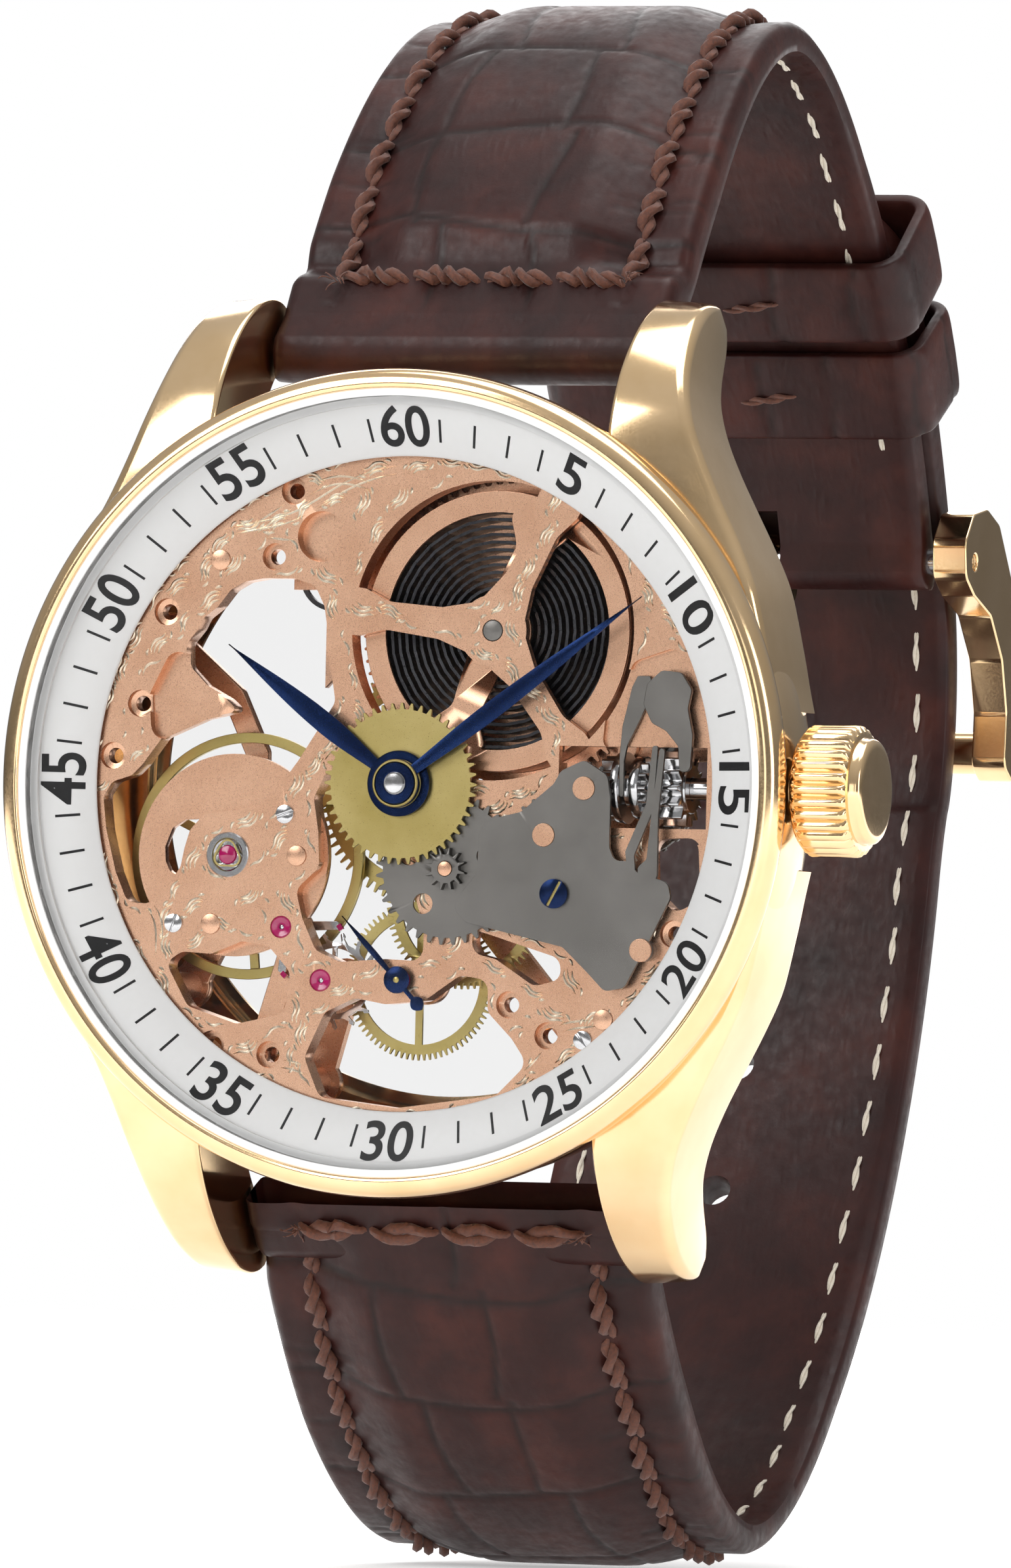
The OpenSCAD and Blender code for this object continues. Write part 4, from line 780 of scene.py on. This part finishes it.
def half_width(y):
    return 10.95 if y < 8 else 9.9 if y > 36 else 10.95 - 1.05 * (y - 8) / 28


class Strap:
    """Rows (outer point, inner point) of a strap in the Y-Z plane, from its spring bar to its end."""

    def __init__(self, t_from, t_to, shift, bar, bar_r, end_pin=None, seed=1):
        sign = 1 if t_to > t_from else -1
        ts = np.arange(t_from, t_to + sign * 0.01, sign * 0.12)
        outer = np.array([loop_raw(t) + loop_out(t) * shift(t) for t in ts])
        normal = np.array([loop_out(t) for t in ts])
        thick = np.array([thick_at(abs(t - t_from) / 70) for t in ts])
        mid = outer - normal * thick[:, None] / 2
        s = np.concatenate([[0], np.cumsum(np.linalg.norm(np.diff(mid, axis=0), axis=1))])
        grid = np.arange(0.0, s[-1], 0.27)
        pick = lambda a: np.stack([np.interp(grid, s, a[:, k]) for k in range(2)], 1)
        o, m = pick(outer), pick(mid)
        th = np.interp(grid, s, thick)
        nn = (o - m) / (th[:, None] / 2)
        # leave out rows that lie inside the roll round the bar
        bar = np.array(bar)
        keep = np.linalg.norm(m - bar, axis=1) > 1.5
        first = int(np.argmax(keep))
        last = len(grid)
        if end_pin is not None:
            far = np.linalg.norm(m - np.array(end_pin), axis=1) > 1.2
            idx = np.where(far)[0]
            last = int(idx[-1]) + 1
        o, m, th, nn, grid = o[first:last], m[first:last], th[first:last], nn[first:last], grid[first:last]
        low = 1.0 - np.array([ease((g - grid[0] - 3.2) / 2.6) for g in grid])
        o2, i2 = o - nn * (0.75 * low)[:, None], m - nn * (th / 2)[:, None] + nn * (0.15 * low)[:, None]

        def roll(pin, radius, middle, normal, angles):
            e = pin - middle
            e = e / np.linalg.norm(e)
            side = normal - e * np.dot(normal, e)
            side = side / np.linalg.norm(side)
            for a in angles:
                c, q = math.cos(math.radians(a)), math.sin(math.radians(a))
                yield pin + radius * (c * e + q * side), pin + radius * (c * e - q * side), side

        rows = list(roll(bar, bar_r, m[0], nn[0], np.linspace(4, 84, 11))) + list(zip(o2, i2, nn))
        if end_pin is not None:
            rows += roll(np.array(end_pin), 1.6, m[-1], nn[-1], np.linspace(84, 4, 9))
        self.o, self.i, self.n = (np.array(column) for column in zip(*rows))
        mids = (self.o + self.i) / 2
        self.s = np.concatenate([[0], np.cumsum(np.linalg.norm(np.diff(mids, axis=0), axis=1))])
        self.length = self.s[-1]
        self.w = np.array([half_width(p[0]) for p in mids])
        self.tip = end_pin is None
        if self.tip:
            for k in range(len(self.w)):
                d = self.length - self.s[k]
                if d < 7:
                    self.w[k] *= max(0.12, math.sqrt(max(0.0, 1 - ((7 - d) / 7.05) ** 2)))
        self.t = np.linalg.norm(self.o - self.i, axis=1)
        self.pad = np.array([1.45 * (1 - ease(s / 70)) * ease((s - 5.4) / 2.4) for s in self.s])
        local = np.random.default_rng(seed)
        self.cross, s = [], 9.0
        while s < self.length - 4:
            self.cross.append((s, local.uniform(-0.05, 0.05), local.uniform(0.25, 0.7), local.uniform(0, 6.3)))
            s += local.uniform(6.6, 9.4)
        self.long = []
        edges = [self.cross[0][0] - 8] + [c[0] for c in self.cross] + [self.length + 9]
        for a, b in zip(edges[:-1], edges[1:]):
            if local.random() < 0.75:
                xs = sorted([local.uniform(-4.6, -2.2), local.uniform(1.6, 4.6)])
            else:
                xs = [local.uniform(-1.5, 1.5)]
            self.long.append((a, b, [(x, local.uniform(-0.12, 0.12), local.uniform(0, 6.3)) for x in xs]))
        self.fine = [(local.uniform(6, self.length), local.choice([-1, 1]), local.uniform(-0.3, 0.3))
                     for _ in range(int(self.length / 3.2))]

    def groove(self, s, x):
        """Depth of the embossing at a place, and how much painted shade its groove gets."""
        g = np.zeros_like(x)
        soft = np.zeros_like(x)
        for c, lean, amp, ph in self.cross:
            d = s - (c + lean * x + amp * np.sin(x / 3.6 + ph))
            g = np.maximum(g, np.exp(-(d / 0.2) ** 2))
            soft = np.maximum(soft, np.exp(-(d / 1.1) ** 2))
        for a, b, lines in self.long:
            inside = (s > a) & (s < b)
            if not inside.any():
                continue
            for x0, lean, ph in lines:
                d = x - (x0 + lean * (s - a) + 0.28 * np.sin((s - a) / 1.9 + ph))
                g = np.where(inside, np.maximum(g, np.exp(-(d / 0.19) ** 2)), g)
                soft = np.where(inside, np.maximum(soft, np.exp(-(d / 1.0) ** 2)), soft)
        for c, side, lean in self.fine:
            d = s - (c + lean * x)
            near = (x * side > 6.3)
            g = np.where(near, np.maximum(g, 0.55 * np.exp(-(d / 0.16) ** 2)), g)
        return g, soft

    def drop(self, k, x, emboss=True):
        """How far the outer face lies below the row's outer point."""
        w, pad, t = self.w[k], self.pad[k], self.t[k]
        d = np.maximum(0.0, w - np.abs(x))
        crown = np.clip((d - 2.0) / 4.6, 0, 1)
        crown = crown * crown * (3 - 2 * crown)
        fall = pad * (1 - crown) + 0.10 * pad * (1 - crown ** 2)
        fall = fall + (0.16 if self.s[k] > 4 else 0.0) * np.exp(-((d - 2.75) / 0.55) ** 2)
        fall = fall + 0.42 * np.clip(1 - d / 0.55, 0, 1) ** 2
        if emboss:
            g, soft = self.groove(self.s[k], x)
            live = ease((self.s[k] - 3.0) / 2)
            fall = fall + live * (0.12 * g + 0.055 * soft) * np.clip((d - 0.2) / 0.8, 0, 1)
        return np.minimum(fall, max(0.2, t - 1.1))

    def spot(self, s, x, lift, inner=False):
        """A point (mm) above the outer or inner face at a distance along the strap."""
        k = int(np.clip(np.searchsorted(self.s, s), 1, len(self.s) - 1))
        f = (s - self.s[k - 1]) / max(1e-9, self.s[k] - self.s[k - 1])
        face = self.i if inner else self.o
        p = face[k - 1] * (1 - f) + face[k] * f
        p = p - self.n[k] * (lift if inner else float(self.drop(k, np.array([x]), False)[0]) - lift)
        return np.array((x, p[0], p[1]))

    def mesh(self, name):
        cols, inner_cols = 84, 24
        u = np.linspace(-1, 1, cols + 1)
        v, dark = [], []
        for k in range(len(self.s)):
            w, n = self.w[k], self.n[k]
            x = u * w
            fall = self.drop(k, x)
            # g also sets the painted shade in the grooves, stored in the groove attribute
            g, _ = self.groove(self.s[k], x)
            g = g * ease((self.s[k] - 3.0) / 2)
            for xx, f, gg in zip(x, fall, g):
                p = self.o[k] - n * f
                v.append((xx * MM, p[0] * MM, p[1] * MM))
                dark.append(0.75 * gg)
            t_edge = self.t[k] - fall[-1]
            top = self.o[k] - n * fall[-1]
            for q, grow in ((0.3, 0.05), (0.6, 0.05), (0.88, 0.0)):
                p = top - n * t_edge * q
                v.append(((w + grow) * MM, p[0] * MM, p[1] * MM))
                dark.append(0)
            for xx in np.linspace(1, -1, inner_cols + 1):
                corner = abs(xx) > 0.99
                p = self.i[k] + n * (0.12 if corner else 0.0)
                v.append((xx * (w - (0.1 if corner else 0)) * MM, p[0] * MM, p[1] * MM))
                dark.append(0)
            t_edge = self.t[k] - fall[0]
            top = self.o[k] - n * fall[0]
            for q, grow in ((0.88, 0.0), (0.6, 0.05), (0.3, 0.05)):
                p = top - n * t_edge * q
                v.append((-(w + grow) * MM, p[0] * MM, p[1] * MM))
                dark.append(0)
        per = cols + 1 + 3 + inner_cols + 1 + 3
        f = ring_faces(len(self.s), per, caps=True)
        idx = []
        for s in self.s[:-1]:
            idx += [0] * cols + [1] * 4 + [2 if s > 3.2 else 0] * inner_cols + [1] * 4
        idx += [1, 1]
        me = mesh_from(name, v, f, 60, idx)
        a = me.attributes.new("groove", "FLOAT", "POINT")
        a.data.foreach_set("value", np.array(dark, np.float32))
        return me


strap_12 = Strap(140, 26, lambda t: 0.95 * math.exp(-((t - 98) / 24) ** 2), (1.0, 23.5), 1.82, (49.3, 14.3), seed=11)
strap_6 = Strap(-141, 57, lambda t: 3.1 * ease((t + 10) / 32), (1.0, -23.5), 1.82, None, seed=23)


def cut_out(me, cutters):
    """Cuts solids out of a mesh."""
    ob = bpy.data.objects.new("cutting", me)
    bpy.context.scene.collection.objects.link(ob)
    tools = []
    for c in cutters:
        tool = bpy.data.objects.new("tool", c)
        bpy.context.scene.collection.objects.link(tool)
        tools.append(tool)
        b = ob.modifiers.new("cut", "BOOLEAN")
        b.operation = "DIFFERENCE"
        b.solver = "MANIFOLD"
        b.object = tool
    bpy.context.view_layer.update()
    out = bpy.data.meshes.new_from_object(ob.evaluated_get(bpy.context.evaluated_depsgraph_get()))
    for o in tools + [ob]:
        bpy.data.objects.remove(o)
    return out


def box_mesh(lo, hi):
    v = [(x * MM, y * MM, z * MM) for x in (lo[0], hi[0]) for y in (lo[1], hi[1]) for z in (lo[2], hi[2])]
    f = [(0, 1, 3, 2), (4, 6, 7, 5), (0, 4, 5, 1), (2, 3, 7, 6), (0, 2, 6, 4), (1, 5, 7, 3)]
    return mesh_from("box", v, f)


def rod_mesh(a, b, r, n=24):
    a, b = np.array(a), np.array(b)
    d = (b - a) / np.linalg.norm(b - a)
    e1 = np.cross(d, [1, 0, 0])
    e1 = e1 / np.linalg.norm(e1)
    e2 = np.cross(d, e1)
    v = [tuple((p + r * (math.cos(q) * e1 + math.sin(q) * e2)) * MM)
         for p in (a, b) for q in np.linspace(0, 2 * math.pi, n + 1)[:-1]]
    return mesh_from("rod", v, ring_faces(2, n, caps=True))


strap_mats = [M["leather"], M["edge_paint"], M["suede"]]


def finish_strap(name, strap, cutters, node):
    me = strap.mesh(name)
    for m in strap_mats:
        me.materials.append(m)
    me = cut_out(me, cutters)
    me.name = name
    smooth(me, 60)
    ob = add(name, me, strap_mats, "head", (node,))


holes = []
for t in STRAP_HOLES:
    o, n = loop_raw(t), loop_out(t)
    a, b = o + n * 3, o - n * 6
    holes.append(rod_mesh((0, a[0], a[1]), (0, b[0], b[1]), STRAP_HOLE_R))
# the hole the tongue stands in, along the tongue's own slant
slant, pierced = np.array([0.763, -0.647]), np.array([50.2, 14.8])
a, b = pierced - slant, pierced + slant * 9
holes.append(rod_mesh((0, a[0], a[1]), (0, b[0], b[1]), 1.25))
finish_strap("strap_long", strap_6, holes, "strap_6")
finish_strap("strap_short", strap_12, [box_mesh((-1.5, 45.3, 11.8), (1.5, 53.3, 17.0))], "strap_12")

# ---------------------------------------------------------------- stitching

def cable(soup, path, radius, twist, strands=2, sides=6, depth=0.55):
    """A plied thread along 3D points in mm: strands wound round each other."""
    p = np.array(path)
    n = len(p)
    tan = np.gradient(p, axis=0)
    tan = tan / np.linalg.norm(tan, axis=1)[:, None]
    ref = np.array([1.0, 0, 0]) if abs(tan[0][0]) < 0.8 else np.array([0, 0, 1.0])
    for q in range(strands):
        v = []
        for i in range(n):
            e1 = np.cross(tan[i], ref)
            e1 /= np.linalg.norm(e1)
            e2 = np.cross(tan[i], e1)
            a = twist * i / (n - 1) + 2 * math.pi * q / strands
            fade = math.sin(math.pi * (0.06 + 0.88 * i / (n - 1))) ** 0.45
            c = p[i] + depth * radius * fade * (math.cos(a) * e1 + math.sin(a) * e2)
            for k in range(sides):
                b = 2 * math.pi * k / sides
                v.append(tuple((c + radius * 0.62 * fade * (math.cos(b) * e1 + math.sin(b) * e2)) * MM))
        soup.add(v, ring_faces(n, sides, caps=True))


def stitch_line(soup, strap, places, pitch, gap, radius, rise, tilt=0.12, twist=9.0, sink=0.35, inner=False):
    """Stitches along a list of (s, x) places on a strap."""
    pts = np.array(places, float)
    seg = np.concatenate([[0], np.cumsum(np.linalg.norm(np.diff(pts, axis=0), axis=1))])
    count = max(1, int(seg[-1] / pitch))
    step = seg[-1] / count
    for k in range(count):
        a, b = k * step + gap / 2, (k + 1) * step - gap / 2
        lean = tilt * (1 if k % 2 else 0.6)
        jig = rng.uniform(-0.07, 0.07)
        path = []
        for i, q in enumerate(np.linspace(0, 1, 13)):
            d = a + (b - a) * q
            s, x = np.interp(d, seg, pts[:, 0]), np.interp(d, seg, pts[:, 1])
            fore, aft = min(d + 0.2, seg[-1]), max(d - 0.2, 0)
            dirv = np.array([np.interp(fore, seg, pts[:, c]) - np.interp(aft, seg, pts[:, c]) for c in (0, 1)])
            dirv = dirv / (np.linalg.norm(dirv) + 1e-9)
            off = lean * (q - 0.5) * 2 + jig
            s, x = s - dirv[1] * off, x + dirv[0] * off
            h = rise * math.sin(math.pi * q) ** 0.55 - sink * (1 - math.sin(math.pi * q) ** 0.5)
            path.append(strap.spot(s, x, h, inner))
        cable(soup, path, radius, twist)


for name, strap, s_end in (("short", strap_12, strap_12.length - 7), ("long", strap_6, strap_6.length - 9)):
    def edge(s, inset=STITCH_INSET):
        return float(np.interp(s, strap.s, strap.w)) - inset

    s0 = 5.6
    soup = Soup()
    for side in (-1, 1):
        stitch_line(soup, strap, [(s, side * edge(s)) for s in np.arange(s0, s_end, 1.0)], 3.45, 0.12, 0.54, 0.28)
    stitch_line(soup, strap, [(s0, x) for x in np.linspace(-edge(s0), edge(s0), 12)], 3.3, 0.12, 0.54, 0.28)
    # loose ends of the knots at the corners
    for side in (-1, 1):
        for j in range(7):
            s, x = s0 + rng.uniform(-0.3, 0.3), side * edge(s0) + rng.uniform(-0.3, 0.3)
            d = rng.uniform(0, 2 * math.pi)
            ln = rng.uniform(0.5, 1.1)
            path = [strap.spot(s + ln * q * math.cos(d), x + ln * q * math.sin(d), 0.25 + 0.35 * math.sin(q * 2.4))
                    for q in np.linspace(0, 1, 6)]
            cable(soup, path, 0.07, 2.0, 1, 5, 0.0)
    soup.piece("stitching_" + name, "thread", "head", angle=60)
    soup = Soup()
    for side in (-1, 1):
        stitch_line(soup, strap, [(s, side * edge(s, LINING_INSET)) for s in np.arange(8.0, s_end, 1.0)],
                    3.45, 1.15, 0.17, 0.06, 0.03, 5.0, 0.12, inner=True)
    soup.piece("lining_stitches_" + name, "cream_thread", "head", angle=60)

# ---------------------------------------------------------------- keepers

def keeper(name, t, width, inner, body, node, seed):
    o, n = loop_raw(t), loop_out(t)
    tang = np.array([-n[1], n[0]])
    x1, v0, v1, r = 10.95, -(inner + 0.5), 3.9, 1.5
    pts = []
    for cx, cv, a0 in ((x1 - r, v1 - r, 0), (-(x1 - r), v1 - r, 90), (-(x1 - r), v0 + r, 180), (x1 - r, v0 + r, 270)):
        for a in np.linspace(a0, a0 + 90, 12):
            pts.append((cx + r * math.cos(math.radians(a)), cv + r * math.sin(math.radians(a))))
    full = []
    for a, b in zip(pts, pts[1:] + pts[:1]):
        a, b = np.array(a), np.array(b)
        m = max(1, int(np.linalg.norm(b - a) / 0.4))
        for q in range(m):
            full.append(a + (b - a) * q / m)
    full = np.array(full)
    lo = np.random.default_rng(seed)
    v, dark, sec = [], [], []
    for a in np.linspace(0, 2 * math.pi, 41)[:-1]:
        c, s = math.cos(a), math.sin(a)
        sec.append((math.copysign(abs(c) ** 0.42, c) * 0.44, math.copysign(abs(s) ** 0.3, s) * width / 2))
    run = np.concatenate([[0], np.cumsum(np.linalg.norm(np.diff(full, axis=0), axis=1))])
    marks = np.cumsum(lo.uniform(3.0, 6.0, 30))
    nn = len(full)
    for k in range(nn):
        d = full[(k + 1) % nn] - full[k - 1]
        d = d / np.linalg.norm(d)
        outw = np.array([d[1], -d[0]])
        for q, w in sec:
            g = 0.0
            if q > 0:
                g = max([math.exp(-((run[k] - m - 0.3 * math.sin(w * 1.3 + m)) / 0.17) ** 2) for m in marks] + [0.0])
            bulge = 0.06 * (1 - (2 * w / width) ** 2) if q > 0 else 0.0
            h = q + bulge - 0.10 * g
            p2 = full[k] + outw * h
            y = o + n * p2[1] + tang * w
            v.append((p2[0] * MM, y[0] * MM, y[1] * MM))
            # painted shade in the keeper's grooves, carried by the groove attribute
            dark.append(0.6 * g)
    me = mesh_from(name, v, ring_faces(nn, len(sec), closed_rows=True), 60)
    a = me.attributes.new("groove", "FLOAT", "POINT")
    a.data.foreach_set("value", np.array(dark, np.float32))
    add(name, me, M["leather"], body, (node,))
    # the seam stitch that closes the band, on its inner side
    soup = Soup()
    for x0, x1s in ((-4.2, -0.8), (0.6, 4.0)):
        path = []
        for q in np.linspace(0, 1, 12):
            h = 0.16 * math.sin(math.pi * q) ** 0.5 - 0.12
            c = o + n * (-(inner + 1.0) - h + 0.02) + tang * (0.5 * (q - 0.5))
            path.append(np.array([x0 + (x1s - x0) * q, c[0], c[1]]))
        cable(soup, path, 0.26, 8.0)
    soup.piece(name + "_stitch", "thread", body, angle=60)


keeper("keeper_fixed", 40.5, 5.2, 2.42, "head", "fixed_keeper", 3)
keeper("keeper_free", 49.5, 5.0, 2.7, "loose_keeper", "free_keeper", 5)

# ---------------------------------------------------------------- stage, lights, camera

me = bpy.data.meshes.new("floor")
floor_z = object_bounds()[0][2] - 0.2 * MM
n = 96
radii = [0.0001, 0.1, 0.25, 0.5, 0.9, 1.4]
floor_v = [(r * math.cos(2 * math.pi * i / n), r * math.sin(2 * math.pi * i / n), floor_z)
           for r in radii for i in range(n)]
me.from_pydata(floor_v, [], ring_faces(len(radii), n))
me.materials.append(M["floor"])
floor = bpy.data.objects.new("floor", me)
bpy.context.scene.collection.objects.link(floor)

scene = bpy.context.scene
scene.view_settings.view_transform = "Standard"
world = bpy.data.worlds.new("studio")
scene.world = world
world.use_nodes = True
wt = world.node_tree
wt.nodes.clear()
wo = wt.nodes.new("ShaderNodeOutputWorld")
shown = wt.nodes.new("ShaderNodeBackground")
shown.inputs[0].default_value = (1, 1, 1, 1)
lit = wt.nodes.new("ShaderNodeBackground")
tc = wt.nodes.new("ShaderNodeTexCoord")
sep = wt.nodes.new("ShaderNodeSeparateXYZ")
wt.links.new(tc.outputs["Generated"], sep.inputs[0])
# grey from below to above: dark at the horizon, white overhead
sky = ramp(wt, span(wt, sep.outputs[2], 0, 1, -1, 1), [
    (0.0, (0.34, 0.335, 0.33)), (0.40, (0.24,) * 3), (0.5, (0.16,) * 3), (0.62, (0.5,) * 3), (1.0, (1, 1, 1))])
wt.links.new(sky, lit.inputs[0])
lit.inputs[1].default_value = 0.62
path = wt.nodes.new("ShaderNodeLightPath")
mix = wt.nodes.new("ShaderNodeMixShader")
wt.links.new(path.outputs["Is Camera Ray"], mix.inputs[0])
wt.links.new(lit.outputs[0], mix.inputs[1])
wt.links.new(shown.outputs[0], mix.inputs[2])
wt.links.new(mix.outputs[0], wo.inputs[0])


def softbox(name, where, target, size, power, size_y=None, color=(1, 1, 1)):
    li = bpy.data.lights.new(name, "AREA")
    li.shape = "RECTANGLE"
    li.size, li.size_y = size, size_y or size
    li.energy = power
    li.color = color
    ob = bpy.data.objects.new(name, li)
    bpy.context.scene.collection.objects.link(ob)
    ob.location = where
    ob.rotation_euler = (Vector(where) - Vector(target)).to_track_quat("Z", "Y").to_euler()


softbox("key", (-0.45, -0.75, 0.55), (0, 0, 0), 0.5, 6.0, 0.7)
softbox("fill", (0.95, -0.35, 0.1), (0, 0, 0), 0.35, 3.0, 0.9)
softbox("top", (0.1, 0.1, 0.9), (0, 0, 0), 0.8, 4.5, 0.6)
softbox("back", (-0.3, 0.9, 0.5), (0, 0.02, 0), 0.6, 3)
softbox("under_front", (0.2, -0.9, -0.02), (0, 0, 0.02), 0.25, 0.6, 0.5)

cam_data = bpy.data.cameras.new("camera")
cam_data.lens, cam_data.sensor_width = 376.9, 36
cam_data.clip_start, cam_data.clip_end = 0.05, 20
cam = bpy.data.objects.new("camera", cam_data)
scene.collection.objects.link(cam)
right, up = (0.940037, 0.340277, 0.023302), (-0.014122, -0.029432, 0.999467)
back_v = (0.340781, -0.939865, -0.022862)
rot = Matrix((right, up, back_v)).transposed().to_4x4()
cam.matrix_world = Matrix.Translation((0.301844, -0.824894, -0.019784)) @ rot
scene.camera = cam
